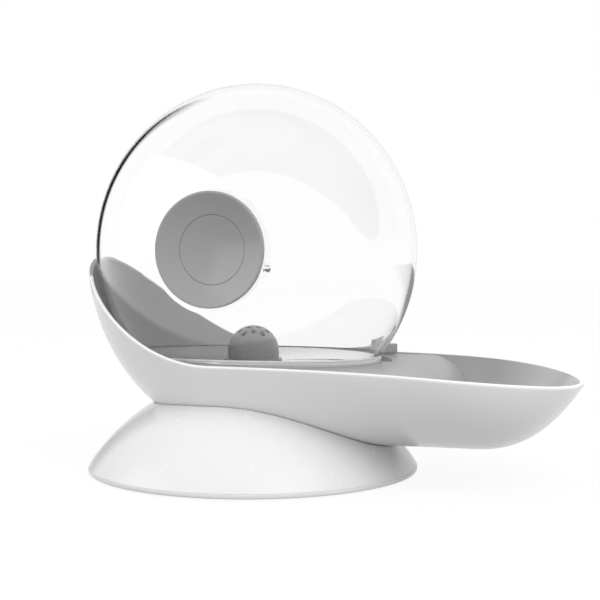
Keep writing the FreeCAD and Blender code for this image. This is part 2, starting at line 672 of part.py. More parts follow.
def make_tank_seat():
    """The deck under the tank: its recess with a bay for the lever, its legs, and the apron."""
    profile = new_body("deck_profile_body")
    sketch = new_sketch(profile, "deck_profile", "XZ_Plane")
    top, low = DECK_TOP, f"{DECK_TOP} - dims.deck_thickness"
    end, back = "dims.deck_end", f"-{TAIL_REACH}"
    sine, cosine = "sin(dims.apron_angle * 1deg)", "cos(dims.apron_angle * 1deg)"
    inner_bend = "(dims.apron_bend - dims.deck_thickness)"
    bend_x, bend_z = f"{end} + dims.apron_bend * {sine}", f"{top} - dims.apron_bend * (1 - {cosine})"
    under_x = f"{end} + {inner_bend} * {sine}"
    under_z = f"{top} - dims.apron_bend + {inner_bend} * {cosine}"
    run_x, run_z = f"dims.apron_run * {cosine}", f"dims.apron_run * {sine}"
    draw_outline(sketch, [
        (back, top), (end, top, "dims.apron_bend"), (bend_x, bend_z),
        (f"{bend_x} + {run_x}", f"{bend_z} - {run_z}"),
        (f"{under_x} + {run_x}", f"{under_z} - {run_z}"),
        (under_x, under_z, f"{inner_bend} * -1"), (end, low), (back, low)])
    pad = profile.newObject("PartDesign::Pad", "deck_pad")
    pad.Profile = sketch
    pad.Midplane = True
    bind(pad, Length="dims.tail_half_width * 2")
    pan = ellipse_prism("deck_pan", f"{EDGE_X} + dims.recess_gap + dims.deck_thickness",
                        f"{EDGE_Y} + dims.recess_gap + dims.deck_thickness",
                        f"{RECESS_FLOOR} - dims.deck_thickness", "dims.recess_depth + 0.1")
    bay_pan = lever_notch("deck_bay_pan", f"{BAY} + dims.deck_thickness",
                          f"{RECESS_FLOOR} - dims.deck_thickness", "dims.recess_depth + 0.1",
                          EDGE_INNER_Y, "dims.deck_thickness")
    whole = common("deck_inside_hull", fuse("deck_with_pan", profile, pan, bay_pan), deck_limit)
    legs = [cylinder(f"deck_leg_{index}", "dims.leg_radius", "dims.foot_edge_height",
                     f"{DECK_TOP} - dims.deck_thickness * 0.5 - dims.foot_edge_height", x, y)
            for index, (x, y) in enumerate(LEG_PLACES, start=1)]
    cut_legs = common("deck_legs", fuse("deck_leg_posts", *legs), leg_limit)
    recess = ellipse_prism("deck_recess", f"{EDGE_X} + dims.recess_gap",
                           f"{EDGE_Y} + dims.recess_gap", RECESS_FLOOR, "dims.recess_depth + 1")
    bay = lever_notch("deck_bay", BAY, RECESS_FLOOR, "dims.recess_depth + 1", EDGE_INNER_Y)
    hole = cylinder("deck_hole", DECK_HOLE, SPOUT_END, DECK_TOP)
    return cut("tank_seat_solid", fuse("deck_on_legs", whole, cut_legs),
               fuse("deck_recess_and_bay", recess, bay), hole)


def make_seat_ring():
    """The soft ring in the deck's recess that the tank stands on, open where the lever passes."""
    outer = ellipse_prism("seat_ring_outside", f"{EDGE_X} - dims.recess_gap",
                          f"{EDGE_Y} - dims.recess_gap", RECESS_FLOOR, "dims.seat_ring_thickness")
    inner = ellipse_prism("seat_ring_inside", f"{EDGE_X} - dims.recess_gap - dims.seat_ring_width",
                          f"{EDGE_Y} - dims.recess_gap - dims.seat_ring_width",
                          f"{RECESS_FLOOR} - 1", "dims.seat_ring_thickness + 2")
    gate = lever_notch("seat_ring_gate", "dims.tank_radius", f"{RECESS_FLOOR} - 1",
                       "dims.seat_ring_thickness + 2", EDGE_INNER_Y)
    return common("seat_ring_solid", cut("seat_ring_open", outer, inner, gate), deck_limit)


def lug_angles():
    """Directions of the cap's lugs and of the gutters that pass them."""
    count = int(size("lug_count"))
    return [size("first_lug_angle") + 360.0 * index / count for index in range(count)]


def make_tank_globe():
    """The clear tank, open below, with the filler neck in its front and the stops for the cap's lugs."""
    outside = ellipsoid("globe_outside", "dims.tank_radius", "dims.tank_half_depth",
                        "dims.tank_radius", "dims.tank_centre_height")
    inside = ellipsoid("globe_inside", "dims.tank_radius - dims.tank_wall",
                       "dims.tank_half_depth - dims.tank_wall", "dims.tank_radius - dims.tank_wall",
                       "dims.tank_centre_height")
    shell = cut("globe_shell", outside, inside)
    neck = front_cylinder("neck_tube", NECK_OUTSIDE, NECK_END, NECK_MOUTH)
    gutters, notches, stops = [], [], []
    for index, angle in enumerate(lug_angles(), start=1):
        gutters.append(front_cylinder(
            f"gutter_{index}", GUTTER_RADIUS, NECK_END, NECK_MOUTH,
            angle - size("gutter_half_angle"), "dims.gutter_half_angle * 2"))
        notches.append(front_cylinder(
            f"notch_{index}", NOTCH_RADIUS, f"{NECK_END} - 1", "dims.tank_half_depth + 1",
            angle - size("notch_half_angle"), "dims.notch_half_angle * 2"))
        stops.append(front_cylinder(
            f"stop_{index}", NECK_OUTSIDE, f"{NECK_END} - dims.stop_depth",
            NECK_END, angle + number("dims.cap_travel + dims.lug_half_angle + dims.stop_gap"),
            "dims.stop_angle"))
    bore = front_cylinder("neck_bore", "dims.neck_bore", f"{NECK_END} - dims.stop_depth - 1",
                          "dims.tank_half_depth + 1")
    face = front_cylinder("neck_face", GUTTER_RADIUS, NECK_MOUTH,
                          "dims.tank_half_depth + 1")
    below = solid_of("below_tank", "Part::Box", Length="dims.tank_radius * 3",
                     Width="dims.tank_radius * 3", Height="dims.tank_radius",
                     Placement__Base__x="-dims.tank_radius * 1.5",
                     Placement__Base__y="-dims.tank_radius * 1.5",
                     Placement__Base__z=f"{TANK_EDGE} - dims.tank_radius")
    whole = fuse("globe_with_neck", shell, neck, *gutters, *stops)
    return cut("tank_globe_solid", whole, fuse("neck_cuts", bore, *notches), face, below)


def make_tank_base():
    """The tank's base: a skirt, the floor, the sunken well with its ports, and the spout's collar."""
    skirt = ellipse_prism("base_skirt", EDGE_X, EDGE_Y, BASE_BOTTOM, "dims.skirt_height")
    inner_x = f"{EDGE_INNER_X} - dims.skirt_inset"
    inner_y = f"{EDGE_INNER_Y} - dims.skirt_inset"
    below = ellipse_prism("base_hollow_below", inner_x, inner_y, f"{BASE_BOTTOM} - 1",
                          f"{FLOOR_BOTTOM} - {BASE_BOTTOM} + 1")
    above = ellipse_prism("base_hollow_above", inner_x, inner_y, FLOOR_TOP,
                          f"{SKIRT_TOP} - {FLOOR_TOP} + 1")
    well = cylinder("base_well", WELL_OUTSIDE, f"{WELL_BOTTOM} - dims.collar_depth",
                    f"{FLOOR_TOP} - ({WELL_BOTTOM}) + dims.collar_depth")
    well_inside = cylinder("base_well_inside", "dims.well_radius", WELL_TOP, "dims.well_depth + 1")
    collar_inside = cylinder("base_collar_inside", "dims.well_radius + dims.spout_fit",
                             f"{WELL_BOTTOM} - dims.collar_depth - 1", "dims.collar_depth + 1")
    ring_outside = cylinder("seal_groove_outside", SEAL_OUTSIDE, WELL_BOTTOM,
                            "dims.seal_groove_depth")
    ring_inside = cylinder("seal_groove_inside", SEAL_INSIDE, f"{WELL_BOTTOM} - 1",
                           "dims.seal_groove_depth + 2")
    groove = cut("seal_groove", ring_outside, ring_inside)
    ports = [cylinder(f"base_port_{index}", "dims.port_radius", f"{WELL_BOTTOM} - 1",
                      "dims.well_wall + 2",
                      f"dims.port_ring_radius * cos({index} * 360deg / dims.port_count)",
                      f"dims.port_ring_radius * sin({index} * 360deg / dims.port_count)")
             for index in range(int(size("port_count")))]
    skirt_notch = lever_notch("skirt_notch", "dims.tank_radius", f"{BASE_BOTTOM} - 1",
                              f"{FLOOR_BOTTOM} - {BASE_BOTTOM} + 1", EDGE_INNER_Y)
    collar_notch = lever_notch("collar_notch", "dims.well_radius + dims.well_wall + 1",
                               f"{WELL_BOTTOM} - dims.collar_depth - 1", "dims.collar_depth + 1",
                               ROTOR)
    body = cut("base_open", skirt, below, above)
    with_well = cut("base_with_well", fuse("base_and_well", body, well), well_inside, collar_inside)
    return cut("tank_base_solid", with_well, fuse("base_ports", *ports), groove,
               fuse("base_notches", skirt_notch, collar_notch))


def make_base_seal():
    """The seal between the tank's lower edge and its base."""
    outer = ellipse_prism("base_seal_outside", EDGE_X, EDGE_Y, SKIRT_TOP, "dims.seal_thickness")
    inner = ellipse_prism("base_seal_inside", EDGE_INNER_X, EDGE_INNER_Y, f"{SKIRT_TOP} - 1",
                          "dims.seal_thickness + 2")
    return cut("base_seal_solid", outer, inner)


def make_shutoff_lever():
    """The shut-off disc with its ports, and the cranked lever that ends in a finger tab."""
    body = new_body("shutoff_lever_body")
    bottom, top = ROTOR_BOTTOM, ROTOR_TOP
    raise_circles(body, "shutoff_disc", bottom, "dims.rotor_thickness",
                  [("0", "0", ROTOR)])
    sketch = new_sketch(body, "lever_profile", "XZ_Plane")
    inner = f"{ROTOR} * 0.85"
    outer_step, outer_riser = f"{CRANK} + dims.rotor_thickness", f"{RISER} + dims.rotor_thickness"
    end_top = f"{TAB_BOTTOM} + dims.rotor_thickness"
    draw_outline(sketch, [
        (inner, bottom), (outer_step, bottom), (outer_step, ARM_BOTTOM),
        (outer_riser, ARM_BOTTOM), (outer_riser, TAB_BOTTOM),
        ("dims.tab_end", TAB_BOTTOM), ("dims.tab_end", TAB_TOP),
        ("dims.tab_start", TAB_TOP), ("dims.tab_start", end_top),
        (RISER, end_top), (RISER, ARM_TOP), (CRANK, ARM_TOP), (CRANK, top), (inner, top)])
    arm = body.newObject("PartDesign::Pad", "lever_arm")
    arm.Profile = sketch
    arm.Midplane = True
    bind(arm, Length="dims.lever_width")
    start = "-dims.lever_angle * 1deg"
    port = sink_circles(body, "disc_port", top, "dims.rotor_thickness",
                        [(f"dims.port_ring_radius * cos({start})",
                          f"dims.port_ring_radius * sin({start})", "dims.port_radius")])
    repeat_round(body, "disc_ports", port, "dims.port_count")
    body.Placement.Rotation = FreeCAD.Rotation(FreeCAD.Vector(0, 0, 1), size("lever_angle"))
    return body


def make_shutoff_seal():
    """The soft ring that presses on the shut-off disc."""
    body = new_body("shutoff_seal_body")
    bottom = f"{ROTOR_TOP} + dims.gasket_gap"
    top = f"{WELL_BOTTOM} + dims.seal_groove_depth"
    revolve(body, "shutoff_seal_ring", "XZ_Plane",
            [(f"{SEAL_INSIDE} + 0.05", bottom), (f"{SEAL_OUTSIDE} - 0.05", bottom),
             (f"{SEAL_OUTSIDE} - 0.05", top), (f"{SEAL_INSIDE} + 0.05", top)])
    return body


def make_outlet_spout():
    """The spout: a shelf that carries the disc, inside a rim, over a short pipe."""
    body = new_body("outlet_spout_body")
    outer = f"{SPOUT_BORE} + dims.spout_wall"
    rim_inside = f"{ROTOR} + dims.rotor_fit"
    revolve(body, "spout_turned", "XZ_Plane",
            [(SPOUT_BORE, SPOUT_END), (outer, SPOUT_END),
             (outer, SHELF_BOTTOM), ("dims.well_radius", SHELF_BOTTOM),
             ("dims.well_radius", WELL_BOTTOM), (rim_inside, WELL_BOTTOM),
             (rim_inside, SHELF_TOP), (SPOUT_BORE, SHELF_TOP)])
    notch = lever_notch("spout_notch", "dims.well_radius + 1", SHELF_TOP,
                        f"{WELL_BOTTOM} - ({SHELF_TOP}) + 1", ROTOR)
    return cut("outlet_spout_solid", body, notch)


def make_filter_dome():
    """The perforated dome over the outlet's ports."""
    body = new_body("filter_dome_body")
    base, wall = WELL_TOP, "dims.dome_wall"
    shoulder = f"{base} + dims.dome_height - dims.dome_radius"
    inner = f"(dims.dome_radius - {wall})"
    revolve(body, "dome_turned", "XZ_Plane",
            [("0", base), (DOME_FLANGE, base),
             (DOME_FLANGE, f"{base} + dims.dome_flange_height"),
             ("dims.dome_radius", f"{base} + dims.dome_flange_height"),
             ("dims.dome_radius", shoulder, "dims.dome_radius * -1"),
             ("0", f"{base} + dims.dome_height")])
    revolve(body, "dome_hollow", "XZ_Plane",
            [("0", f"{base} - 1"), (inner, f"{base} - 1"), (inner, shoulder, f"{inner} * -1"),
             ("0", f"{base} + dims.dome_height - {wall}")], "PartDesign::Groove")
    top, depth = f"{base} + dims.dome_height", "dims.dome_radius * 0.7"
    sink_circles(body, "crown_hole", top, depth, [("0", "0", "dims.dome_hole_radius")])
    rows = [("dims.dome_hole_pitch", "dims.dome_hole_turn"),
            ("dims.dome_hole_pitch * 2", "dims.dome_hole_turn"),
            ("dims.dome_hole_pitch * sqrt(3)", "(dims.dome_hole_turn + 30)")]
    holes = sink_circles(body, "dome_holes_of_one_side", top, depth,
                         [(f"{reach} * cos({turn} * 1deg)", f"{reach} * sin({turn} * 1deg)",
                           "dims.dome_hole_radius") for reach, turn in rows])
    repeat_round(body, "dome_holes", holes, "6")
    return body


def make_filter_sponge():
    """The round sponge inside the dome, over the ports."""
    return cylinder("filter_sponge_solid", "dims.dome_radius - dims.dome_wall - dims.sponge_gap",
                    WELL_TOP, "dims.dome_height - dims.dome_radius")


def turned_on_cap_axis(name, points, *hollows):
    """A body turned about the cap's axis, less its hollows. A point is (radius, distance in front)."""
    body = new_body(name)
    for index, outline in enumerate((points,) + hollows):
        flipped = [(point[0], f"-({point[1]})") + tuple(point[2:]) for point in outline]
        kind = "PartDesign::Groove" if index else "PartDesign::Revolution"
        revolve(body, f"{name}_turn_{index}", "XY_Plane", flipped, kind)
    return bind(body, Placement__Base__z="dims.tank_centre_height")


def dish_radius(depth_behind_front):
    """Radius of the dish's curve, or of one parallel to it behind it."""
    depth = "dims.cap_dish_depth"
    return f"(({CAP_RIM_INSIDE}^2 + {depth}^2) / (2 * {depth}) + {depth_behind_front})"


def dish_front(radius, depth_behind_front):
    """How far in front of the tank's axis the dish's curve lies at a radius."""
    curve = dish_radius("0")
    behind = dish_radius(depth_behind_front)
    return f"({CAP_FRONT} - dims.cap_dish_depth + {curve} - sqrt({behind}^2 - ({radius})^2))"


def make_cap_dish():
    """The dished cover of the filler cap, with a round pocket for its inlay."""
    pocket = "dims.inlay_radius + dims.inlay_gap"
    floor = "dims.inlay_thickness"
    plug_inside = f"({PLUG_RADIUS} - dims.plug_wall)"
    beyond = f"{CAP_FRONT} + 1"
    cover = [
        ("0", CAP_FRONT), (CAP_RADIUS, CAP_FRONT), (CAP_RADIUS, CAP_BACK),
        (PLUG_RADIUS, CAP_BACK), (PLUG_RADIUS, PLUG_START), (plug_inside, PLUG_START),
        (plug_inside, dish_front(plug_inside, "dims.cap_shell"),
         dish_radius("dims.cap_shell") + " * -1"),
        ("0", dish_front("0", "dims.cap_shell"))]
    dish = [("0", beyond), (CAP_RIM_INSIDE, beyond),
            (CAP_RIM_INSIDE, CAP_FRONT, dish_radius("0") + " * -1"), ("0", dish_front("0", "0"))]
    inlay_pocket = [("0", beyond), (pocket, beyond),
                    (pocket, dish_front(pocket, floor), dish_radius(floor) + " * -1"),
                    ("0", dish_front("0", floor))]
    return turned_on_cap_axis("cap_dish_body", cover, dish, inlay_pocket)


def make_cap_inlay():
    """The round inlay that lies flush in the dish."""
    floor = "dims.inlay_thickness"
    edge = "dims.inlay_radius"
    beyond = f"{CAP_FRONT} + 1"
    disc = [("0", CAP_FRONT), (edge, CAP_FRONT),
            (edge, dish_front(edge, floor), dish_radius(floor) + " * -1"),
            ("0", dish_front("0", floor))]
    dish = [("0", beyond), (CAP_RIM_INSIDE, beyond),
            (CAP_RIM_INSIDE, CAP_FRONT, dish_radius("0") + " * -1"), ("0", dish_front("0", "0"))]
    return turned_on_cap_axis("cap_inlay_body", disc, dish)


def make_cap_plug():
    """The cap's plug: a ring, and three legs that reach through the neck with a lug at each end."""
    inner_end = f"({LUG_FACE} - dims.lug_thickness)"
    plug_inside = f"({PLUG_RADIUS} - dims.plug_wall)"
    ring = turned_on_cap_axis("cap_plug_ring", [
        (plug_inside, LEG_START), (PLUG_RADIUS, LEG_START),
        (PLUG_RADIUS, PLUG_START), (plug_inside, PLUG_START)])
    arms = []
    for index, angle in enumerate(lug_angles(), start=1):
        first_angle, angle_width = angle - size("lug_half_angle"), "dims.lug_half_angle * 2"
        arms.append(front_cylinder(f"cap_leg_{index}", PLUG_RADIUS, LUG_FACE, f"{LEG_START} + 1",
                                   first_angle, angle_width))
        arms.append(front_cylinder(f"cap_lug_{index}", LUG_RADIUS, inner_end, LUG_FACE,
                                   first_angle, angle_width))
    bore = front_cylinder("cap_plug_bore", plug_inside, f"{inner_end} - 1", f"{LEG_START} + 2")
    return cut("cap_plug_solid", fuse("cap_plug_with_legs", ring, *arms), bore)


def make_cap_gasket():
    """The flat gasket under the cap's rim."""
    inner = "dims.neck_bore - dims.gasket_gap"
    outer = f"{CAP_RADIUS} - 0.3"
    front, back = CAP_BACK, f"{NECK_MOUTH} + dims.gasket_gap"
    return turned_on_cap_axis("cap_gasket_body", [
        (inner, back), (outer, back), (outer, front), (inner, front)])


keep(make_hull_shell(), "hull_shell")
keep(make_foot_shell(), "foot_shell")
keep(make_foot_base_plate(), "foot_base_plate")
keep(make_foot_grip(), "foot_grip")
keep(make_foot_screws(), "foot_screws")
keep(make_tank_seat(), "tank_seat")
keep(make_seat_ring(), "seat_ring")
keep(make_tank_globe(), "tank_globe")
keep(make_tank_base(), "tank_base")
keep(make_base_seal(), "base_seal")
keep(make_shutoff_lever(), "shutoff_lever")
keep(make_shutoff_seal(), "shutoff_seal")
keep(make_outlet_spout(), "outlet_spout")
keep(make_filter_dome(), "filter_dome")
keep(make_filter_sponge(), "filter_sponge")
keep(make_cap_dish(), "cap_dish")
keep(make_cap_inlay(), "cap_inlay")
keep(make_cap_plug(), "cap_plug")
keep(make_cap_gasket(), "cap_gasket")

doc.recompute()
for item in doc.Objects:
    if "Invalid" in item.State or "Error" in item.State:
        raise RuntimeError(f"{item.Name} failed: {item.State}")
os.makedirs("parts", exist_ok=True)
for item in sub_parts:
    if item.Shape.isNull() or not item.Shape.isValid():
        raise RuntimeError(f"{item.Label} has no valid shape")
for item in sub_parts:
    item.Shape.exportStep(f"parts/{item.Label}.step")
    box = item.Shape.BoundBox
    print(f"{item.Label}: {len(item.Shape.Solids)} solids, {item.Shape.Volume / 1000:.2f} cm3, "
          f"x {box.XMin:.1f}..{box.XMax:.1f} y {box.YMin:.1f}..{box.YMax:.1f} "
          f"z {box.ZMin:.1f}..{box.ZMax:.1f}")
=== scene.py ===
"""Looks of a gravity-fed pet water fountain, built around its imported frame.

Sizes are millimetres in the fountain's own frame: +Z up from the surface it stands on, the tank's
axis at x = y = 0, +X towards the bowl's tip, and the filler cap facing -Y. A mesh is made in
millimetres, and ``Piece.finish`` turns it into metres.
"""

import logging
import math
from dataclasses import dataclass, field
from enum import Enum
from typing import Callable, NamedTuple, Sequence

import bmesh
import bpy
from mathutils import Matrix, Vector

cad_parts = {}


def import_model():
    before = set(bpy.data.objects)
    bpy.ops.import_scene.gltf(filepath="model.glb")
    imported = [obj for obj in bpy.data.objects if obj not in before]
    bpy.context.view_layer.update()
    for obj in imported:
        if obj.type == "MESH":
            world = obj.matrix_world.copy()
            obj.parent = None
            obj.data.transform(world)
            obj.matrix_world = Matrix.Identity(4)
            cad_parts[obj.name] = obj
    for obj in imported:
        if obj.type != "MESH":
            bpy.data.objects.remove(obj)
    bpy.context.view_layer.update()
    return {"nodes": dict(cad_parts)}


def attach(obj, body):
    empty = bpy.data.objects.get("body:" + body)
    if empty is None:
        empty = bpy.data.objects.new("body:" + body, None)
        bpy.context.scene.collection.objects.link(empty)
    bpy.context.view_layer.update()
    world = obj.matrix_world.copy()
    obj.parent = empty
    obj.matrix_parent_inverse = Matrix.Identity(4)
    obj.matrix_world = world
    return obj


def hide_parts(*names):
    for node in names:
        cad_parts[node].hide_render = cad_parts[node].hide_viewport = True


LOG = logging.getLogger("fountain")
Mesh = bmesh.types.BMesh
Material = bpy.types.Material
Socket = bpy.types.NodeSocket
Place = Callable[[float, float], Vector]


class Body(Enum):
    """The bodies that a piece can ride on."""

    BASE = "base"
    DECK = "deck"
    TANK = "tank"
    LEVER = "lever"
    CAP_SEAL = "cap_seal"
    FILL_CAP = "fill_cap"


class Slot(Enum):
    """The record's material slots."""

    WHITE_PLASTIC = "white_plastic"
    CLEAR_PLASTIC = "clear_plastic"
    GREY_PLASTIC = "grey_plastic"
    GREY_RUBBER = "grey_rubber"
    DARK_RUBBER = "dark_rubber"
    SPONGE = "sponge"
    STEEL = "steel"


class Side(Enum):
    """The two halves of the hull: near faces the cap's side, far is behind the tank."""

    NEAR = -1
    FAR = 1


# Shared levels


@dataclass(frozen=True)
class Levels:
    """Heights and reaches that several pieces share."""

    tank_centre: float = 132.5
    tank_reach: float = 100.5
    tank_half_depth: float = 70.0
    tank_wall: float = 2.5
    tank_edge: float = 70.5
    skirt_top: float = 69.2
    base_bottom: float = 64.5
    deck_top: float = 66.5
    recess_floor: float = 63.5
    rim: float = 68.2
    hull_wall: float = 2.4
    foot_edge: float = 3.6
    screw: tuple[float, float] = (38.0, 26.0)
    edge_outside: tuple[float, float] = (79.10, 55.09)
    edge_inside: tuple[float, float] = (75.89, 52.27)
    bay: tuple[float, float] = (8.01, 47.99)
    port_circle: float = 9.5
    port_reach: float = 2.2
    port_bottom: float = 60.0


LEVELS = Levels()
HALVINGS = 44


# Mesh helpers


def ease(share: float) -> float:
    """A smooth step from 0 to 1."""
    share = min(1.0, max(0.0, share))
    return share * share * (3 - 2 * share)


def bent(start: Vector, corner: Vector, end: Vector, share: float) -> Vector:
    """A point on the curve that rounds a corner."""
    return start * (1 - share) ** 2 + corner * (2 * share * (1 - share)) + end * share**2


def first_true(low: float, high: float, test: Callable[[float], bool]) -> float:
    """The value between low and high at which a test turns true.

    Args:
        low: A value at which the test is false.
        high: A value at which the test is true.
        test: The test.

    Returns:
        The turning value.
    """
    for _ in range(HALVINGS):
        middle = (low + high) / 2
        if test(middle):
            high = middle
        else:
            low = middle
    return (low + high) / 2


def mirrored(x: float, y: float) -> list[tuple[float, float]]:
    """A place and its three mirror images."""
    return [(sx * x, sy * y) for sx in (-1, 1) for sy in (-1, 1)]


def stretch_at(rows: Sequence[int], along: float) -> tuple[int, float]:
    """Finds where a row lies on a profile that is made of stretches.

    Args:
        rows: Rows of each stretch.
        along: Share of all rows.

    Returns:
        The stretch's index, and the share of the way along it.
    """
    row = round(along * sum(rows))
    stretch = 0
    while stretch < len(rows) - 1 and row > rows[stretch]:
        row -= rows[stretch]
        stretch += 1
    return stretch, row / rows[stretch]


def formed_sheet(columns: int, rows: int, place: Place) -> Mesh:
    """Bends a flat grid into a closed form, and welds its seams and poles.

    Args:
        columns: Faces across the grid.
        rows: Faces along the grid.
        place: Gives a vertex its place from its two shares, each from 0 to 1.

    Returns:
        The welded mesh.
    """
    mesh = bmesh.new()
    bmesh.ops.create_grid(mesh, x_segments=columns, y_segments=rows, size=0.5)
    for vertex in mesh.verts:
        vertex.co = place(vertex.co.x + 0.5, vertex.co.y + 0.5)
    weld(mesh)
    return mesh


def weld(mesh: Mesh, gap: float = 0.002) -> None:
    """Merges the doubles of a mesh and turns its faces outwards."""
    bmesh.ops.remove_doubles(mesh, verts=mesh.verts, dist=gap)
    bmesh.ops.dissolve_degenerate(mesh, edges=mesh.edges, dist=gap / 4)
    bmesh.ops.recalc_face_normals(mesh, faces=mesh.faces)


class Corner(NamedTuple):
    """A corner of an outline: its distance from the axis, its height, and what rounds it."""

    reach: float
    height: float
    rounding: float = 0.0


def turned(outline: Sequence[Sequence[float]], closed: bool = True, steps: int = 160) -> Mesh:
    """Turns an outline about the upright axis.

    Args:
        outline: Its corners. One that isn't closed starts and ends on the axis.
        closed: Whether the last corner joins the first.
        steps: Faces round the axis.

    Returns:
        The closed, turned mesh.
    """
    corners = [Corner(*corner) for corner in outline]
    mesh = bmesh.new()
    points = [mesh.verts.new((corner.reach, 0, corner.height)) for corner in corners]
    following = points[1:] + points[:1] if closed else points[1:]
    for one, two in zip(points, following):
        mesh.edges.new((one, two))
    for rounding in sorted({corner.rounding for corner in corners} - {0.0}):
        chosen = [point for point, corner in zip(points, corners) if corner.rounding == rounding]
        bmesh.ops.bevel(
            mesh, geom=chosen, offset=rounding, offset_type="OFFSET", segments=4, profile=0.5,
            affect="VERTICES", material=-1)
    bmesh.ops.spin(
        mesh, geom=mesh.verts[:] + mesh.edges[:], cent=(0, 0, 0), axis=(0, 0, 1), dvec=(0, 0, 0),
        angle=math.tau, steps=steps, use_merge=True, use_duplicate=False)
    weld(mesh)
    return mesh


def arc_corners(reach: float, centre: float, start: float, end: float, count: int,
                half_depth: float | None = None) -> list[Corner]:
    """Corners along an arc about a point on the axis.

    Args:
        reach: The arc's radius, or an ellipse's reach from the axis.
        centre: Height of the arc's centre.
        start: First angle in degrees, from the level up.
        end: Last angle in degrees.
        count: Number of corners.
        half_depth: An ellipse's reach along the axis, where it isn't a circle.

    Returns:
        The corners, the first and the last included.
    """
    depth = reach if half_depth is None else half_depth
    angles = [math.radians(start + (end - start) * index / (count - 1)) for index in range(count)]
    return [Corner(max(0.0, reach * math.cos(angle)) if abs(math.cos(angle)) > 1e-9 else 0.0,
                   centre + depth * math.sin(angle)) for angle in angles]


def squeeze(mesh: Mesh, table: Sequence[tuple[float, float]]) -> Mesh:
    """Presses a turned mesh into ellipses.

    Args:
        mesh: The turned mesh.
        table: Distances from the axis, rising, each with the share of it that is kept across.

    Returns:
        The same mesh.
    """
    for vertex in mesh.verts:
        reach = math.hypot(vertex.co.x, vertex.co.y)
        share = table[-1][1]
        for (low, low_share), (high, high_share) in zip(table, table[1:]):
            if reach <= high:
                part = max(0.0, (reach - low) / (high - low))
                share = low_share + (high_share - low_share) * part
                break
        vertex.co.y *= share
    return mesh


def stand(reach: float, bottom: float, top: float, x: float = 0.0, y: float = 0.0,
          steps: int = 48, rounding: float = 0.0) -> Mesh:
    """An upright round post."""
    mesh = turned([(0, bottom), (reach, bottom, rounding), (reach, top, rounding), (0, top)],
                  closed=False, steps=steps)
    bmesh.ops.translate(mesh, verts=mesh.verts, vec=(x, y, 0))
    return mesh


def ports(start: float, top: float) -> list[Mesh]:
    """Tools that cut the outlet's six ports, the first in a direction in radians."""
    turns = [start + math.tau * index / 6 for index in range(6)]
    return [stand(LEVELS.port_reach, LEVELS.port_bottom, top, LEVELS.port_circle * math.cos(turn),
                  LEVELS.port_circle * math.sin(turn), steps=32) for turn in turns]


def wedge(reach: float, bottom: float, top: float, first: float, last: float,
          inner: float = 0.0) -> Mesh:
    """An upright sector between two directions in degrees, from the axis or an inner reach."""
    mesh = bmesh.new()
    turn = math.radians(first)
    points = [mesh.verts.new((r * math.cos(turn), r * math.sin(turn), z))
              for r, z in ((inner, bottom), (reach, bottom), (reach, top), (inner, top))]
    face = mesh.faces.new(points)
    bmesh.ops.spin(mesh, geom=[face, *face.edges, *face.verts], cent=(0, 0, 0), axis=(0, 0, 1),
                   dvec=(0, 0, 0), angle=math.radians(last - first),
                   steps=max(2, round(abs(last - first) / 2.0)), use_merge=False,
                   use_duplicate=False)
    weld(mesh)
    open_edges = [edge for edge in mesh.edges if edge.is_boundary]
    if open_edges:
        bmesh.ops.holes_fill(mesh, edges=open_edges, sides=0)
    bmesh.ops.recalc_face_normals(mesh, faces=mesh.faces)
    return mesh


def onto_cap_axis(mesh: Mesh) -> Mesh:
    """Lays a mesh turned about the upright axis over onto the cap's axis, its top to the front."""
    bmesh.ops.rotate(mesh, verts=mesh.verts, cent=(0, 0, 0),
                     matrix=Matrix.Rotation(math.radians(90), 3, "X"))
    bmesh.ops.translate(mesh, verts=mesh.verts, vec=(0, 0, LEVELS.tank_centre))
    return mesh


def add_islands(mesh: Mesh, *others: Mesh) -> Mesh:
    """Adds separate meshes to a mesh, and frees them."""
    for other in others:
        carrier = bpy.data.meshes.new("carrier")
        other.to_mesh(carrier)
        other.free()
        mesh.from_mesh(carrier)
        bpy.data.meshes.remove(carrier)
    return mesh


def as_object(mesh: Mesh, name: str) -> bpy.types.Object:
    """Links a mesh to the scene as an object, and frees it."""
    data = bpy.data.meshes.new(name)
    mesh.to_mesh(data)
    mesh.free()
    item = bpy.data.objects.new(name, data)
    bpy.context.scene.collection.objects.link(item)
    return item


def aim(item: bpy.types.Object, place: Sequence[float], faces: Sequence[float],
        axis: str) -> None:
    """Puts an object at a place, and turns one of its axes towards another place."""
    item.location = place
    way = Vector(faces) - Vector(place)
    item.rotation_euler = way.to_track_quat(axis, "Y").to_euler()


class Joining(Enum):
    """How one closed mesh works on another."""

    CUT = "DIFFERENCE"
    JOIN = "UNION"


def worked(mesh: Mesh, tools: Sequence[Mesh], joining: Joining) -> Mesh:
    """Cuts closed tools from a closed mesh, or joins them to it.

    Args:
        mesh: The mesh, which is freed.
        tools: The tools, which are freed and which stay clear of each other.
        joining: Whether they are cut or joined.

    Returns:
        The new mesh.
    """
    tool = add_islands(bmesh.new(), *tools)
    objects = [as_object(mesh, "work"), as_object(tool, "tool")]
    modifier = objects[0].modifiers.new("working", "BOOLEAN")
    modifier.operation = joining.value
    modifier.solver = "EXACT"
    modifier.object = objects[1]
    bpy.context.view_layer.update()
    evaluated = objects[0].evaluated_get(bpy.context.evaluated_depsgraph_get())
    result = bmesh.new()
    result.from_mesh(evaluated.to_mesh())
    evaluated.to_mesh_clear()
    for item in objects:
        data = item.data
        bpy.data.objects.remove(item)
        bpy.data.meshes.remove(data)
    return result


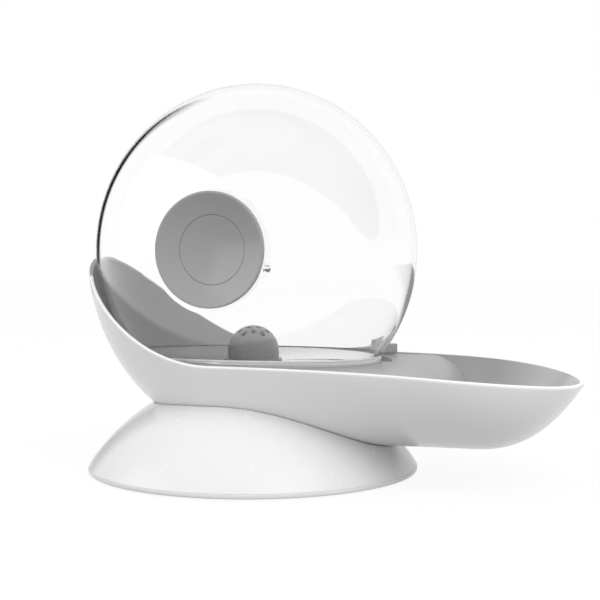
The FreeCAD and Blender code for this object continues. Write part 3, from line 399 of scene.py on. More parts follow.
@dataclass
class Piece:
    """One visible piece: its name, its body, its slot, and the frame nodes it stands for."""

    name: str
    body: Body
    slot: Slot
    stands_for: tuple[str, ...]
    sharp: float = 35.0

    def finish(self, mesh: Mesh, material: Material, lining: Material | None = None,
               is_lined: Callable[[Vector], bool] | None = None) -> bpy.types.Object:
        """Turns a mesh into the finished piece.

        Args:
            mesh: The mesh in millimetres, which is freed.
            material: The piece's material.
            lining: The material of its lined faces, where it has any.
            is_lined: Tells from a face's middle whether the face is lined.

        Returns:
            The piece, at the origin and riding on its body.
        """
        for face in mesh.faces:
            face.material_index = 1 if is_lined and is_lined(face.calc_center_median()) else 0
        bmesh.ops.scale(mesh, verts=mesh.verts, vec=(0.001, 0.001, 0.001))
        for face in mesh.faces:
            face.smooth = True
        limit = math.radians(self.sharp)
        for edge in mesh.edges:
            edge.smooth = len(edge.link_faces) != 2 or edge.calc_face_angle(0.0) < limit
        piece = as_object(mesh, self.name)
        for finish in filter(None, (material, lining)):
            piece.data.materials.append(finish)
        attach(piece, self.body.value)
        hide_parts(*self.stands_for)
        LOG.info("%s: %d faces, rides on %s", self.name, len(piece.data.polygons),
                 self.body.value)
        return piece


# Finishes


class Board:
    """The node tree of a material or of the world, with short calls to fill it."""

    ramp_ends = (0.3, 0.7)

    def __init__(self, name: str, is_world: bool = False) -> None:
        """Starts an empty tree that ends in its output."""
        self.block = (bpy.data.worlds if is_world else bpy.data.materials).new(name)
        self.block.use_nodes = True
        self.tree = self.block.node_tree
        self.tree.nodes.clear()
        self.output = self.node("OutputWorld" if is_world else "OutputMaterial")

    def put(self, socket: Socket, value: object) -> None:
        """Gives an input a value, or links it to a socket."""
        if isinstance(value, Socket):
            self.tree.links.new(value, socket)
        else:
            socket.default_value = value

    def node(self, kind: str, settings: dict[str, object] | None = None,
             **values: object) -> bpy.types.Node:
        """Adds a node.

        Args:
            kind: The shader node's type.
            settings: Properties of the node.
            values: Its inputs by name, with _ for a space: a value, or a socket to link.

        Returns:
            The node.
        """
        node = self.tree.nodes.new("ShaderNode" + kind)
        for name, value in (settings or {}).items():
            setattr(node, name, value)
        for name, value in values.items():
            self.put(node.inputs[name.replace("_", " ")], value)
        return node

    def result(self, kind: str, *values: object, **settings: object) -> Socket:
        """The first output of a node whose inputs are given in order."""
        node = self.node(kind, settings)
        for socket, value in zip(node.inputs, values):
            self.put(socket, value)
        return node.outputs[0]

    def place(self) -> Socket:
        """The place on the piece, in the piece's own frame."""
        return self.node("TexCoord").outputs["Object"]

    def grain(self, scale: float, detail: float = 3.0, roughness: float = 0.55) -> Socket:
        """A noise over the piece's own place, as a value from 0 to 1."""
        noise = self.node("TexNoise", Vector=self.place(), Scale=scale, Detail=detail,
                          Roughness=roughness)
        return noise.outputs["Fac"]

    def between(self, share: Socket, low: float, high: float) -> Socket:
        """Spreads a share over a range."""
        return self.node("MapRange", Value=share, To_Min=low, To_Max=high).outputs["Result"]

    def eased(self, value: Socket, start: float, end: float, low: float, high: float) -> Socket:
        """A smooth step from low to high, while a value runs from start to end."""
        step = self.node("MapRange", {"interpolation_type": "SMOOTHSTEP"}, Value=value,
                         From_Min=start, From_Max=end, To_Min=low, To_Max=high)
        return step.outputs["Result"]

    def shade(self, share: Socket, low: Sequence[float], high: Sequence[float]) -> Socket:
        """A colour between two colours."""
        ramp = self.node("ValToRGB", Fac=share)
        for element, position, colour in zip(ramp.color_ramp.elements, self.ramp_ends,
                                             (low, high)):
            element.position = position
            element.color = (*colour, 1)
        return ramp.outputs["Color"]

    def relief(self, height: Socket, strength: float, distance: float) -> Socket:
        """A bumped normal."""
        bump = self.node("Bump", Height=height, Strength=strength, Distance=distance)
        return bump.outputs["Normal"]

    def seen(self) -> Socket:
        """1 for rays from the camera, a reflection or clear plastic, and 0 for other light."""
        path = self.node("LightPath").outputs
        share = path["Is Camera Ray"]
        for name in ("Is Glossy Ray", "Is Transmission Ray"):
            share = self.result("Math", share, path[name], operation="MAXIMUM")
        return share

    def end(self, shader: Socket) -> bpy.types.ID:
        """Links the last shader, and gives the material or the world."""
        self.put(self.output.inputs["Surface"], shader)
        return self.block


def grey(level: float) -> tuple[float, float, float]:
    """A grey."""
    return (level,) * 3


@dataclass(frozen=True)
class MouldedPlastic:
    """Moulded plastic: nearly even colour, a soft gloss, a very fine skin, and optional painted
    light towards the bowl's tip.
    """

    name: str
    colour: float
    spread: float
    roughness: float
    grain_depth: float = 0.00002
    coat: float = 0.0
    gloss: float = 0.5
    coat_ior: float = 1.5
    painted_light_towards_tip: float = 0.0
    ior: float = 1.48
    cloud_scale: float = 9.0
    mottle_scale: float = 45.0
    mottle: tuple[float, float] = (0.88, 1.16)
    grain_scale: float = 900.0
    grain_strength: float = 0.25
    tip: tuple[float, float] = (0.13, 0.188)
    polished: float = 0.1

    def build(self) -> Material:
        """Makes the material."""
        board = Board(self.name)
        tone = board.shade(board.grain(self.cloud_scale), grey(self.colour - self.spread),
                           grey(self.colour + self.spread))
        # Painted light: a paler grey blended in along +X stands in for the light falling on the
        # bowl's tip.
        if self.painted_light_towards_tip:
            along = board.node("SeparateXYZ", Vector=board.place()).outputs["X"]
            painted_light_mix = board.node("Mix", {"data_type": "RGBA"})
            for index, value in ((0, board.eased(along, *self.tip, 0.0, 1.0)), (6, tone),
                                 (7, (*grey(self.painted_light_towards_tip), 1))):
                board.put(painted_light_mix.inputs[index], value)
            tone = painted_light_mix.outputs[2]
        low, high = (self.roughness * share for share in self.mottle)
        shader = board.node(
            "BsdfPrincipled", Base_Color=tone, IOR=self.ior, Specular_IOR_Level=self.gloss,
            Roughness=board.between(board.grain(self.mottle_scale), low, high),
            Normal=board.relief(board.grain(self.grain_scale), self.grain_strength,
                                self.grain_depth),
            Coat_Weight=self.coat, Coat_IOR=self.coat_ior,
            Coat_Roughness=0.08 if self.roughness > self.polished else 0.03)
        return board.end(shader.outputs["BSDF"])


@dataclass(frozen=True)
class ClearPlastic:
    """Clear moulded plastic with a trace of haze and a slight waviness."""

    name: str
    ior: float = 1.5
    colour: float = 0.996
    haze: float = 0.004
    shadow: float = 0.93
    haze_scale: float = 14.0
    wave_scale: float = 28.0
    wave_strength: float = 0.03
    wave_depth: float = 0.0002

    def build(self) -> Material:
        """Makes the material. Rays towards the lamps pass, so what is in the tank is lit."""
        board = Board(self.name)
        glass = board.node(
            "BsdfPrincipled", IOR=self.ior, Roughness=0.0, Transmission_Weight=1.0,
            Base_Color=board.shade(board.grain(self.haze_scale), grey(self.colour - self.haze),
                                   grey(self.colour)),
            Normal=board.relief(board.grain(self.wave_scale, detail=1.0), self.wave_strength,
                                self.wave_depth))
        passing = board.node("BsdfTransparent", Color=(*grey(self.shadow), 1))
        is_shadow = board.node("LightPath").outputs["Is Shadow Ray"]
        return board.end(board.result("MixShader", is_shadow, glass.outputs["BSDF"],
                                      passing.outputs["BSDF"]))


@dataclass(frozen=True)
class Rubber:
    """Soft rubber: matt, with a fine mottle."""

    name: str
    colour: float

    def build(self) -> Material:
        """Makes the material."""
        board = Board(self.name)
        shader = board.node(
            "BsdfPrincipled", IOR=1.45,
            Base_Color=board.shade(board.grain(160.0), grey(self.colour * 0.9),
                                   grey(self.colour * 1.1)),
            Roughness=board.between(board.grain(60.0), 0.5, 0.68),
            Normal=board.relief(board.grain(700.0), 0.35, 0.00004))
        return board.end(shader.outputs["BSDF"])


@dataclass(frozen=True)
class OpenSponge:
    """Open-celled sponge."""

    name: str

    def build(self) -> Material:
        """Makes the material."""
        board = Board(self.name)
        cells = board.node("TexVoronoi", Vector=board.place(), Scale=900.0).outputs["Distance"]
        shader = board.node(
            "BsdfPrincipled", Roughness=0.95, Normal=board.relief(cells, 0.8, 0.0005),
            Base_Color=board.shade(cells, (0.18, 0.18, 0.19), (0.55, 0.55, 0.56)))
        return board.end(shader.outputs["BSDF"])


@dataclass(frozen=True)
class TurnedSteel:
    """Stainless steel with a fine turned finish."""

    name: str

    def build(self) -> Material:
        """Makes the material."""
        board = Board(self.name)
        shader = board.node(
            "BsdfPrincipled", Metallic=1.0,
            Base_Color=board.shade(board.grain(300.0), (0.55, 0.55, 0.56), (0.66, 0.66, 0.67)),
            Roughness=board.between(board.grain(500.0), 0.24, 0.4),
            Normal=board.relief(board.grain(1500.0), 0.2, 0.00002))
        return board.end(shader.outputs["BSDF"])


def made(recipe: MouldedPlastic | ClearPlastic | Rubber | OpenSponge | TurnedSteel) -> Material:
    """A field for a finish that is made together with the others."""
    return field(default_factory=recipe.build)


@dataclass
class Finishes:
    """All finishes of the fountain, made once."""

    white: Material = made(MouldedPlastic("white_plastic_hull", 0.82, 0.003, 0.24, coat=0.2))
    foot_white: Material = made(
        MouldedPlastic("white_plastic_foot", 0.74, 0.003, 0.26, coat=0.15))
    # The inside's grey turns paler towards the bowl's tip: painted light standing in for how light
    # falls there.
    lining: Material = made(
        MouldedPlastic("grey_plastic_inside", 0.31, 0.006, 0.24, painted_light_towards_tip=0.6))
    deck_grey: Material = made(
        MouldedPlastic("grey_plastic_deck", 0.31, 0.006, 0.36, gloss=0.3))
    # The bay's paler grey is painted light: it lifts the shade that falls in the lever's recess.
    bay_painted_light: Material = made(MouldedPlastic("grey_plastic_bay_painted_light", 0.5, 0.006, 0.4, gloss=0.3))
    tank_grey: Material = made(
        MouldedPlastic("grey_plastic_floor", 0.44, 0.006, 0.07, grain_depth=0.0000004, coat=1.0,
                       gloss=1.0, coat_ior=2.2))
    clear: Material = made(ClearPlastic("clear_plastic_tank"))
    clear_neck: Material = made(ClearPlastic("clear_plastic_neck", ior=1.06))
    grey: Material = made(
        MouldedPlastic("grey_plastic_cap", 0.31, 0.006, 0.2, grain_depth=0.000004))
    dome_grey: Material = made(MouldedPlastic("grey_plastic_filter", 0.275, 0.006, 0.3))
    grey_rubber: Material = made(Rubber("grey_rubber_seals", 0.16))
    pale_rubber: Material = made(Rubber("grey_rubber_pale", 0.7))
    dark_rubber: Material = made(Rubber("dark_rubber_seal", 0.035))
    sponge: Material = made(OpenSponge("sponge_filter"))
    steel: Material = made(TurnedSteel("steel_screws"))


# The hull


@dataclass(frozen=True)
class HullForm:
    """The hull's closed form, grown all over by a margin, or shrunk by a negative one."""

    margin: float
    centre: float = LEVELS.tank_centre
    tail_reach: float = 103.2
    nose_reach: float = 196.8
    tail_half_width: float = 85.0
    tail_depth: float = 115.0
    rim_rise: float = 62.0
    rim_drop: float = 9.9
    rim_drop_power: float = 3.2
    bowl_half_width: float = 76.2
    bowl_start: float = 122.0
    bowl_bottom: float = 19.8
    nose_rise_start: float = 136.0
    nose_rise_power: float = 2.5
    bowl_flare: float = 24.0
    flare_length: float = 110.0

    @property
    def tail(self) -> float:
        """Reach of the tail behind the tank's axis."""
        return self.tail_reach + self.margin

    @property
    def nose(self) -> float:
        """Reach of the bowl's tip from the tank's axis."""
        return self.nose_reach + 1.2 * self.margin

    def rim_level(self, x: float) -> float:
        """Height of the rim at a distance along the hull."""
        if x < 0:
            return LEVELS.rim + self.rim_rise * (x / self.tail_reach) ** 2
        return LEVELS.rim - self.rim_drop * (x / self.nose_reach) ** self.rim_drop_power

    def half_width_at_rim(self, x: float) -> float:
        """Half of the hull's width at its rim, forward of the tank's axis."""
        start = self.bowl_start
        drop = (self.centre - LEVELS.rim) / (self.tail_depth + self.margin)
        beside = (self.tail_half_width + self.margin) * math.sqrt(1 - drop**2)
        bowl = self.bowl_half_width + self.margin
        if x < start:
            return beside + (bowl - beside) * ease(x / start)
        return bowl * math.sqrt(max(0.0, 1 - ((x - start) / (self.nose - start)) ** 2))

    def keel(self, x: float) -> float:
        """Height of the form's lowest line, forward of the tank's axis."""
        start = self.nose_rise_start
        under_tank = self.centre - self.tail_depth - self.margin
        under_bowl = self.bowl_bottom - self.margin
        level = under_tank + (under_bowl - under_tank) * ease(x / start)
        if x > start:
            share = min(1.0, (x - start) / (self.nose - start))
            level += (self.rim_level(self.nose) - level) * share**self.nose_rise_power
        return level

    def section(self, x: float) -> tuple[float, float, float]:
        """Half width, half height and centre height of the section at a distance."""
        if x < 0:
            share = math.sqrt(max(0.0, 1 - (x / self.tail) ** 2))
            return ((self.tail_half_width + self.margin) * share,
                    (self.tail_depth + self.margin) * share, self.centre)
        blend = ease(x / self.flare_length)
        centre = self.centre + (self.rim_level(x) + self.bowl_flare - self.centre) * blend
        half_height = centre - self.keel(x)
        rim_share = min(1 - 1e-9, (centre - self.rim_level(x)) / half_height)
        return self.half_width_at_rim(x) / math.sqrt(1 - rim_share**2), half_height, centre

    def rim_angle(self, x: float) -> float:
        """Angle of the rim in its section, from straight down."""
        _, half_height, centre = self.section(x)
        if half_height < 1e-9:
            return 0.0
        return math.acos(max(-1.0, min(1.0, (centre - self.rim_level(x)) / half_height)))

    def point(self, x: float, angle: float, side: Side) -> Vector:
        """A point of the form."""
        half_width, half_height, centre = self.section(x)
        return Vector((x, side.value * half_width * math.sin(angle),
                       centre - half_height * math.cos(angle)))

    def rear(self) -> float:
        """The rearmost point of the rim."""
        return first_true(-self.tail, -self.tail * 0.9, lambda x: self.rim_angle(x) > 0)

    def half_width_at(self, x: float, level: float) -> float:
        """Half of the form's width at a distance and a height, or less than 0 outside it."""
        if not -self.tail < x < self.nose:
            return -1.0
        half_width, half_height, centre = self.section(x)
        share = (centre - level) / half_height
        return half_width * math.sqrt(1 - share**2) if abs(share) < 1 else -1.0

    def belly(self, x: float, y: float) -> float:
        """Height of the form's underside over a place, and very high beside it."""
        if not -self.tail < x < self.nose:
            return 1e6
        half_width, half_height, centre = self.section(x)
        share = y / half_width if half_width > 0 else 2.0
        return centre - half_height * math.sqrt(1 - share**2) if abs(share) < 1 else 1e6


class RimTable:
    """Distances along a form's rim, to share it out evenly."""

    def __init__(self, form: HullForm, count: int = 3000) -> None:
        """Measures the rim of a form."""
        rear, nose = form.rear(), form.nose
        middle, half = (rear + nose) / 2, (nose - rear) / 2
        self.places: list[float] = []
        self.lengths: list[float] = []
        last, total = None, 0.0
        for index in range(count + 1):
            x = middle - half * math.cos(math.pi * index / count)
            point = form.point(x, form.rim_angle(x), Side.FAR)
            total += (point - last).length if last else 0.0
            self.places.append(x)
            self.lengths.append(total)
            last = point

    def place(self, share: float) -> float:
        """The distance along the hull of the rim's point at a share of its length."""
        goal = share * self.lengths[-1]
        low, high = 0, len(self.lengths) - 1
        while high - low > 1:
            middle = (low + high) // 2
            low, high = (middle, high) if self.lengths[middle] <= goal else (low, middle)
        span = self.lengths[high] - self.lengths[low]
        part = (goal - self.lengths[low]) / span if span else 0.0
        return self.places[low] + (self.places[high] - self.places[low]) * part


class RimColumn(NamedTuple):
    """What all points of one column of the hull share."""

    side: Side
    outer_x: float
    inner_x: float
    outer_share: float
    inner_share: float


@dataclass
class Hull:
    """The hull, whose nose is the bowl and whose tail climbs round the tank."""

    wall: float = LEVELS.hull_wall
    lip_drop: float = 2.2
    inner_corner: float = 0.45
    lip_start: float = -92.0
    spine_start: float = -30.0
    spine_end: float = 110.0
    columns: int = 300
    rows: tuple[int, ...] = (54, 8, 3, 54)
    boss_reach: float = 4.5
    boss_bottom: float = 9.5
    boss_top: float = 60.0
    pilot_reach: float = 2.05
    pilot_top: float = 18.0

    def __post_init__(self) -> None:
        """Prepares the wall's forms, and the rims of its two faces."""
        self.outside, self.inside = HullForm(0.0), HullForm(-self.wall)
        self.middle, self.skin = HullForm(-self.wall / 2), HullForm(-self.wall / 4)
        self.rims = {form: RimTable(form) for form in (self.outside, self.inside)}
        self.columns_made: dict[float, RimColumn] = {}

    def on_wall(self, form: HullForm, rim_x: float, share: float, side: Side) -> Vector:
        """A point on a form's wall.

        Args:
            form: The form.
            rim_x: Where the point's line starts on the rim.
            share: Share of the way from the rim down to the spine.
            side: Near or far half.

        Returns:
            The point.
        """
        rear = self.rims[form].places[0]
        along = (rim_x - rear) / (form.nose - rear)
        goal = self.spine_start + (self.spine_end - self.spine_start) * along
        x = rim_x + (goal - rim_x) * share**2
        return form.point(x, form.rim_angle(rim_x) * (1 - share), side)

    def down_from_rim(self, form: HullForm, rim_x: float, side: Side, drop: float) -> float:
        """The share of the way down a wall at which a point is a distance from the rim."""
        top = self.on_wall(form, rim_x, 0.0, side)
        return first_true(0.0, 0.6, lambda share: (
            self.on_wall(form, rim_x, share, side) - top).length > drop)

    def column(self, around: float) -> RimColumn:
        """What all points of one column share."""
        key = round(around, 6)
        if key not in self.columns_made:
            side = Side.NEAR if around <= 0.5 else Side.FAR
            share = 2 * around if around <= 0.5 else 2 * (1 - around)
            outer_x = self.rims[self.outside].place(share)
            inner_x = self.rims[self.inside].place(share)
            self.columns_made[key] = RimColumn(
                side, outer_x, inner_x,
                self.down_from_rim(self.outside, outer_x, side, self.lip_drop),
                self.down_from_rim(self.inside, inner_x, side, self.inner_corner))
        return self.columns_made[key]

    def place(self, around: float, along: float) -> Vector:
        """A point of the shell: out from under the hull, over the lip and down into it."""
        side, outer_x, inner_x, outer_share, inner_share = self.column(around)
        stretch, share = stretch_at(self.rows, along)
        if stretch == 0:
            return self.on_wall(self.outside, outer_x, 1 + (outer_share - 1) * share, side)
        if stretch == 3:
            return self.on_wall(self.inside, inner_x, inner_share + (1 - inner_share) * share,
                                side)
        outer_edge = self.on_wall(self.outside, outer_x, 0.0, side)
        inner_edge = self.on_wall(self.inside, inner_x, 0.0, side)
        lip_end = inner_edge + (outer_edge - inner_edge).normalized() * self.inner_corner
        if stretch == 1:
            start = self.on_wall(self.outside, outer_x, outer_share, side)
            return bent(start, outer_edge, lip_end, share)
        end = self.on_wall(self.inside, inner_x, inner_share, side)
        return bent(lip_end, inner_edge, end, share)

    def boss(self, x: float, y: float) -> Mesh:
        """A blind screw boss whose top follows the hull's underside."""
        top, bottom = self.boss_top, self.boss_bottom
        mesh = turned([(0, self.pilot_top), (self.pilot_reach, self.pilot_top),
                       (self.pilot_reach, bottom, 0.2), (self.boss_reach, bottom, 0.4),
                       (self.boss_reach, top), (0, top)], closed=False, steps=40)
        bmesh.ops.translate(mesh, verts=mesh.verts, vec=(x, y, 0))
        for vertex in mesh.verts:
            is_top = vertex.co.z > top - 1
            if is_top:
                vertex.co.z = self.outside.belly(vertex.co.x, vertex.co.y) + self.wall / 3
        return mesh

    def is_inside(self, place: Vector) -> bool:
        """Whether a place is on the hull's inner wall, below the lip, or on the lip's tail end."""
        rim, away = self.outside.rim_level(place.x), abs(place.y)
        if place.x < self.lip_start and place.z > rim - self.lip_drop:
            return away < self.skin.half_width_at(place.x, place.z)
        return (place.z < rim - self.inner_corner
                and away < self.middle.half_width_at(place.x, place.z))

    def build(self, finishes: Finishes) -> None:
        """Makes the hull, white outside and grey inside, the grey with painted light towards the
        bowl's tip.
        """
        mesh = formed_sheet(self.columns, sum(self.rows), self.place)
        add_islands(mesh, *[self.boss(x, y) for x, y in mirrored(*LEVELS.screw)])
        Piece("hull", Body.BASE, Slot.WHITE_PLASTIC, ("hull_shell",)).finish(
            mesh, finishes.white, finishes.lining, self.is_inside)


# The foot


@dataclass
class Foot:
    """The white domed foot, its bottom plate, and the non-slip ring."""

    reach: float = 99.5
    crown: float = 57.5
    wall: float = 3.0
    saddle_gap: float = 0.3
    saddle_wall: float = 2.5
    edge_round: float = 0.5
    columns: int = 256
    plate_bottom: float = 1.0
    plate_round: float = 0.9
    seam_round: float = 0.35
    groove_round: float = 0.15
    grip_inside: float = 78.0
    grip_outside: float = 88.0
    grip_height: float = 1.6
    grip_gap: float = 0.2
    grip_sink: float = 0.6
    post_reach: float = 5.5
    post_top: float = 9.0
    recess_reach: float = 4.3
    recess_top: float = 3.2
    rows: tuple[int, ...] = (22, 3, 40, 3, 4, 26, 2, 18)

    def __post_init__(self) -> None:
        """Works out the dome's curve and the two saddle forms."""
        rise = self.crown - LEVELS.foot_edge
        self.curve = (self.reach**2 + rise**2) / (2 * rise)
        self.middle = self.crown - self.curve
        self.saddle = HullForm(self.saddle_gap)
        self.saddle_under = HullForm(self.saddle_gap + self.saddle_wall)
        self.joins: dict[float, tuple[float, float]] = {}

    def dome(self, radius: float, level: float) -> float:
        """Distance from the axis of a dome's curve at a height."""
        return math.sqrt(max(0.0, radius**2 - (level - self.middle) ** 2))

    def meets(self, radius: float, form: HullForm, turn: float) -> float:
        """Height at which a dome's curve meets a saddle form in one direction."""
        def inside(level: float) -> bool:
            reach = self.dome(radius, level)
            return level > form.belly(reach * math.cos(turn), reach * math.sin(turn))
        return first_true(LEVELS.foot_edge, self.middle + radius, inside)

    def place(self, around: float, along: float) -> Vector:
        """A point of the foot: out over the saddle, down the dome, and back up inside it."""
        turn = math.tau * around
        key = round(around, 6)
        if key not in self.joins:
            self.joins[key] = (self.meets(self.curve, self.saddle, turn),
                               self.meets(self.curve - self.wall, self.saddle_under, turn))
        join, join_inside = self.joins[key]
        stretch, share = stretch_at(self.rows, along)

        def at(reach: float, level: float) -> Vector:
            return Vector((reach * math.cos(turn), reach * math.sin(turn), level))

        def on_saddle(form: HullForm, reach: float) -> Vector:
            return at(reach, form.belly(reach * math.cos(turn), reach * math.sin(turn)))

        def on_dome(radius: float, level: float) -> Vector:
            return at(self.dome(radius, level), level)

        edge = self.edge_round
        join_reach = self.dome(self.curve, join)
        inner = self.curve - self.wall
        inner_reach = self.dome(inner, join_inside)
        bottom = LEVELS.foot_edge
        if stretch == 0:
            return on_saddle(self.saddle, (join_reach - edge) * share)
        if stretch == 1:
            return bent(on_saddle(self.saddle, join_reach - edge), on_dome(self.curve, join),
                        on_dome(self.curve, join - edge), share)
        if stretch == 2:
            return on_dome(self.curve, join - edge + (bottom + edge - (join - edge)) * share)
        if stretch == 3:
            return bent(on_dome(self.curve, bottom + edge), at(self.reach, bottom),
                        at(self.reach - edge, bottom), share)
        if stretch == 4:
            return at(self.reach - edge + (self.dome(inner, bottom) - self.reach + edge) * share,
                      bottom)
        if stretch == 5:
            return on_dome(inner, bottom + (join_inside - edge - bottom) * share)
        if stretch == 6:
            return bent(on_dome(inner, join_inside - edge), on_dome(inner, join_inside),
                        on_saddle(self.saddle_under, inner_reach - edge), share)
        return on_saddle(self.saddle_under, (inner_reach - edge) * (1 - share))

    def build_plate(self, finishes: Finishes) -> None:
        """Makes the bottom plate with its recesses for the screws and its posts."""
        low, high = self.plate_bottom, LEVELS.foot_edge
        inside, outside = self.grip_inside - self.grip_gap, self.grip_outside + self.grip_gap
        floor = low + self.grip_sink
        mesh = turned([
            (0, high), (self.reach, high, self.seam_round), (self.reach, low, self.plate_round),
            (outside, low, self.groove_round), (outside, floor), (inside, floor),
            (inside, low, self.groove_round), (0, low)], closed=False, steps=self.columns)
        places = mirrored(*LEVELS.screw)
        mesh = worked(mesh, [stand(self.recess_reach, low - 1, self.recess_top, x, y)
                             for x, y in places], Joining.CUT)
        add_islands(mesh, *[stand(self.post_reach, high - 0.3, self.post_top, x, y, rounding=0.2)
                            for x, y in places])
        Piece("foot_plate", Body.BASE, Slot.WHITE_PLASTIC, ("foot_base_plate",)).finish(
            mesh, finishes.foot_white)

    def build(self, finishes: Finishes) -> None:
        """Makes the foot, its plate and its ring."""
        mesh = formed_sheet(self.columns, sum(self.rows), self.place)
        Piece("foot", Body.BASE, Slot.WHITE_PLASTIC, ("foot_shell",)).finish(
            mesh, finishes.foot_white)
        self.build_plate(finishes)
        inside, outside, height = self.grip_inside, self.grip_outside, self.grip_height
        ring = turned([(inside, 0, 0.4), (outside, 0, 0.4), (outside, height), (inside, height)],
                      steps=200)
        Piece("foot_ring", Body.BASE, Slot.GREY_RUBBER, ("foot_grip",)).finish(
            ring, finishes.grey_rubber)


# The deck


@dataclass
class Deck:
    """The grey deck: its recess, the lever's bay, its legs, and the apron into the bowl."""

    thickness: float = 2.5
    gap: float = 0.4
    end: float = 93.0
    bend: float = 30.0
    slope: float = 62.0
    run: float = 16.0
    recess: tuple[float, float] = (79.6, 55.59)
    hole: float = 31.0
    leg_x: float = 50.0
    leg_y: float = 35.0
    leg_reach: float = 5.0
    leg_gap: float = 0.3
    bay_reach: float = 84.1
    bay_pan_reach: float = 86.6
    bay_pan_margin: float = 2.72
    search: tuple[float, float] = (20.0, 180.0)
    floor_margin: float = 0.6
    land: float = 2.2
    pan_margin: float = 0.8
    apron_share: float = 0.09
    ring: tuple[tuple[float, float], ...] = ((73.3, 49.29), (78.6, 54.59))
    ring_height: float = 1.0
    edge_round: float = 0.4
    columns: int = 320
    rows: tuple[int, ...] = (14, 2, 3, 2, 44, 2, 2, 2, 40, 2, 2, 14, 3)

    def __post_init__(self) -> None:
        """Prepares the hull's inside, which trims the deck."""
        self.limit = HullForm(-LEVELS.hull_wall - self.gap)
        self.outlines: dict[float, tuple[float, float, float, float]] = {}

    def profile(self, x: float, depth: float) -> float:
        """Height of the deck's top, or of a line below it by a depth, at a distance."""
        top, slope = LEVELS.deck_top, math.radians(self.slope)
        radius = self.bend - depth
        turn_x = self.end + radius * math.sin(slope)
        if x <= self.end:
            return top - depth
        if x <= turn_x:
            return top - self.bend + math.sqrt(radius**2 - (x - self.end) ** 2)
        return top - self.bend + radius * math.cos(slope) - (x - turn_x) * math.tan(slope)

    def last_x(self, depth: float) -> float:
        """Where the apron ends, on its top or below it by a depth."""
        slope = math.radians(self.slope)
        return self.end + (self.bend - depth) * math.sin(slope) + self.run * math.cos(slope)

    def outline(self, turn: float, depth: float) -> float:
        """Distance from the axis to the deck's edge in one direction."""
        last = self.last_x(depth)

        def outside(reach: float) -> bool:
            x, y = reach * math.cos(turn), reach * math.sin(turn)
            if x > last:
                return True
            return abs(y) > self.limit.half_width_at(x, self.profile(x, depth))
        return first_true(*self.search, outside)

    def level_outline(self, turn: float, level: float) -> float:
        """Distance from the axis to the hull's inside at a height in one direction."""
        return first_true(*self.search, lambda reach: abs(reach * math.sin(turn)) >
                          self.limit.half_width_at(reach * math.cos(turn), level))

    def turn_at(self, around: float) -> float:
        """Direction of a column, with a column on each corner of the apron."""
        last = self.last_x(0.0)
        corner = math.atan2(self.limit.half_width_at(last, self.profile(last, 0.0)), last)
        front = self.apron_share
        if around <= front:
            return corner * around / front
        if around >= 1 - front:
            return math.tau - corner * (1 - around) / front
        return corner + (math.tau - 2 * corner) * (around - front) / (1 - 2 * front)

    def place(self, around: float, along: float) -> Vector:
        """A point of the deck: out over the recess and the top, and back underneath."""
        turn, key = self.turn_at(around), round(around, 6)
        cosine, sine = math.cos(turn), math.sin(turn)
        wall, rounding = self.thickness, self.edge_round
        floor, pan = LEVELS.recess_floor, LEVELS.recess_floor - wall

        def on_ellipse(extra: float) -> float:
            along, across = (reach + extra for reach in self.recess)
            return 1 / math.hypot(cosine / along, sine / across)

        if key not in self.outlines:
            self.outlines[key] = (self.outline(turn, 0.0), self.outline(turn, wall),
                                  self.level_outline(turn, floor), self.level_outline(turn, pan))
        top_edge, low_edge, floor_edge, pan_edge = self.outlines[key]
        wall_reach = min(on_ellipse(0.0), floor_edge - self.floor_margin,
                         top_edge - self.land)
        pan_reach = min(on_ellipse(wall), pan_edge, low_edge - self.pan_margin)

        def at(reach: float, level: float) -> Vector:
            return Vector((reach * cosine, reach * sine, level))

        def on_top(reach: float, depth: float = 0.0) -> Vector:
            return at(reach, self.profile(reach * cosine, depth))

        stops = [
            at(self.hole, floor), at(wall_reach - rounding, floor),
            at(wall_reach, floor + rounding), at(wall_reach, LEVELS.deck_top - rounding),
            on_top(wall_reach + rounding),
            on_top(top_edge - rounding), on_top(top_edge), on_top(low_edge, wall),
            on_top(low_edge - rounding, wall), at(pan_reach, LEVELS.deck_top - wall),
            at(pan_reach, pan + rounding), at(pan_reach - rounding, pan), at(self.hole, pan),
            at(self.hole, floor)]
        stretch, share = stretch_at(self.rows, along)
        start, end = stops[stretch], stops[stretch + 1]
        if stretch in (4, 8):
            depth = 0.0 if stretch == 4 else wall
            reach = math.hypot(start.x, start.y)
            return on_top(reach + (math.hypot(end.x, end.y) - reach) * share, depth)
        rounded = {1: at(wall_reach, floor), 3: at(wall_reach, LEVELS.deck_top),
                   5: on_top(top_edge - rounding / 6), 10: at(pan_reach, pan)}
        if stretch in rounded:
            return bent(start, rounded[stretch], end, share)
        return start.lerp(end, share)

    def leg(self, x: float, y: float) -> Mesh:
        """A leg whose end follows the hull's floor."""
        foot = HullForm(-LEVELS.hull_wall - self.leg_gap)
        mesh = stand(self.leg_reach, 0.0, LEVELS.deck_top - self.thickness * 0.6, x, y, steps=40)
        for vertex in mesh.verts:
            if vertex.co.z < 1:
                vertex.co.z = foot.belly(vertex.co.x, vertex.co.y)
        return mesh

    def bay_pan(self) -> Mesh:
        """The pan under the lever's bay, trimmed by the hull and open over the recess."""
        floor = LEVELS.recess_floor
        first, last = LEVELS.bay
        pan = wedge(self.bay_pan_reach, floor - self.thickness, floor + 0.6,
                    first - self.bay_pan_margin, last + self.bay_pan_margin, inner=50)
        for vertex in pan.verts:
            limit = self.limit.half_width_at(vertex.co.x, vertex.co.z)
            vertex.co.y = min(vertex.co.y, limit)
        share = self.recess[1] / self.recess[0]
        recess = squeeze(stand(self.recess[0], floor, floor + 10, steps=self.columns), [(0, share)])
        return worked(pan, [recess], Joining.CUT)

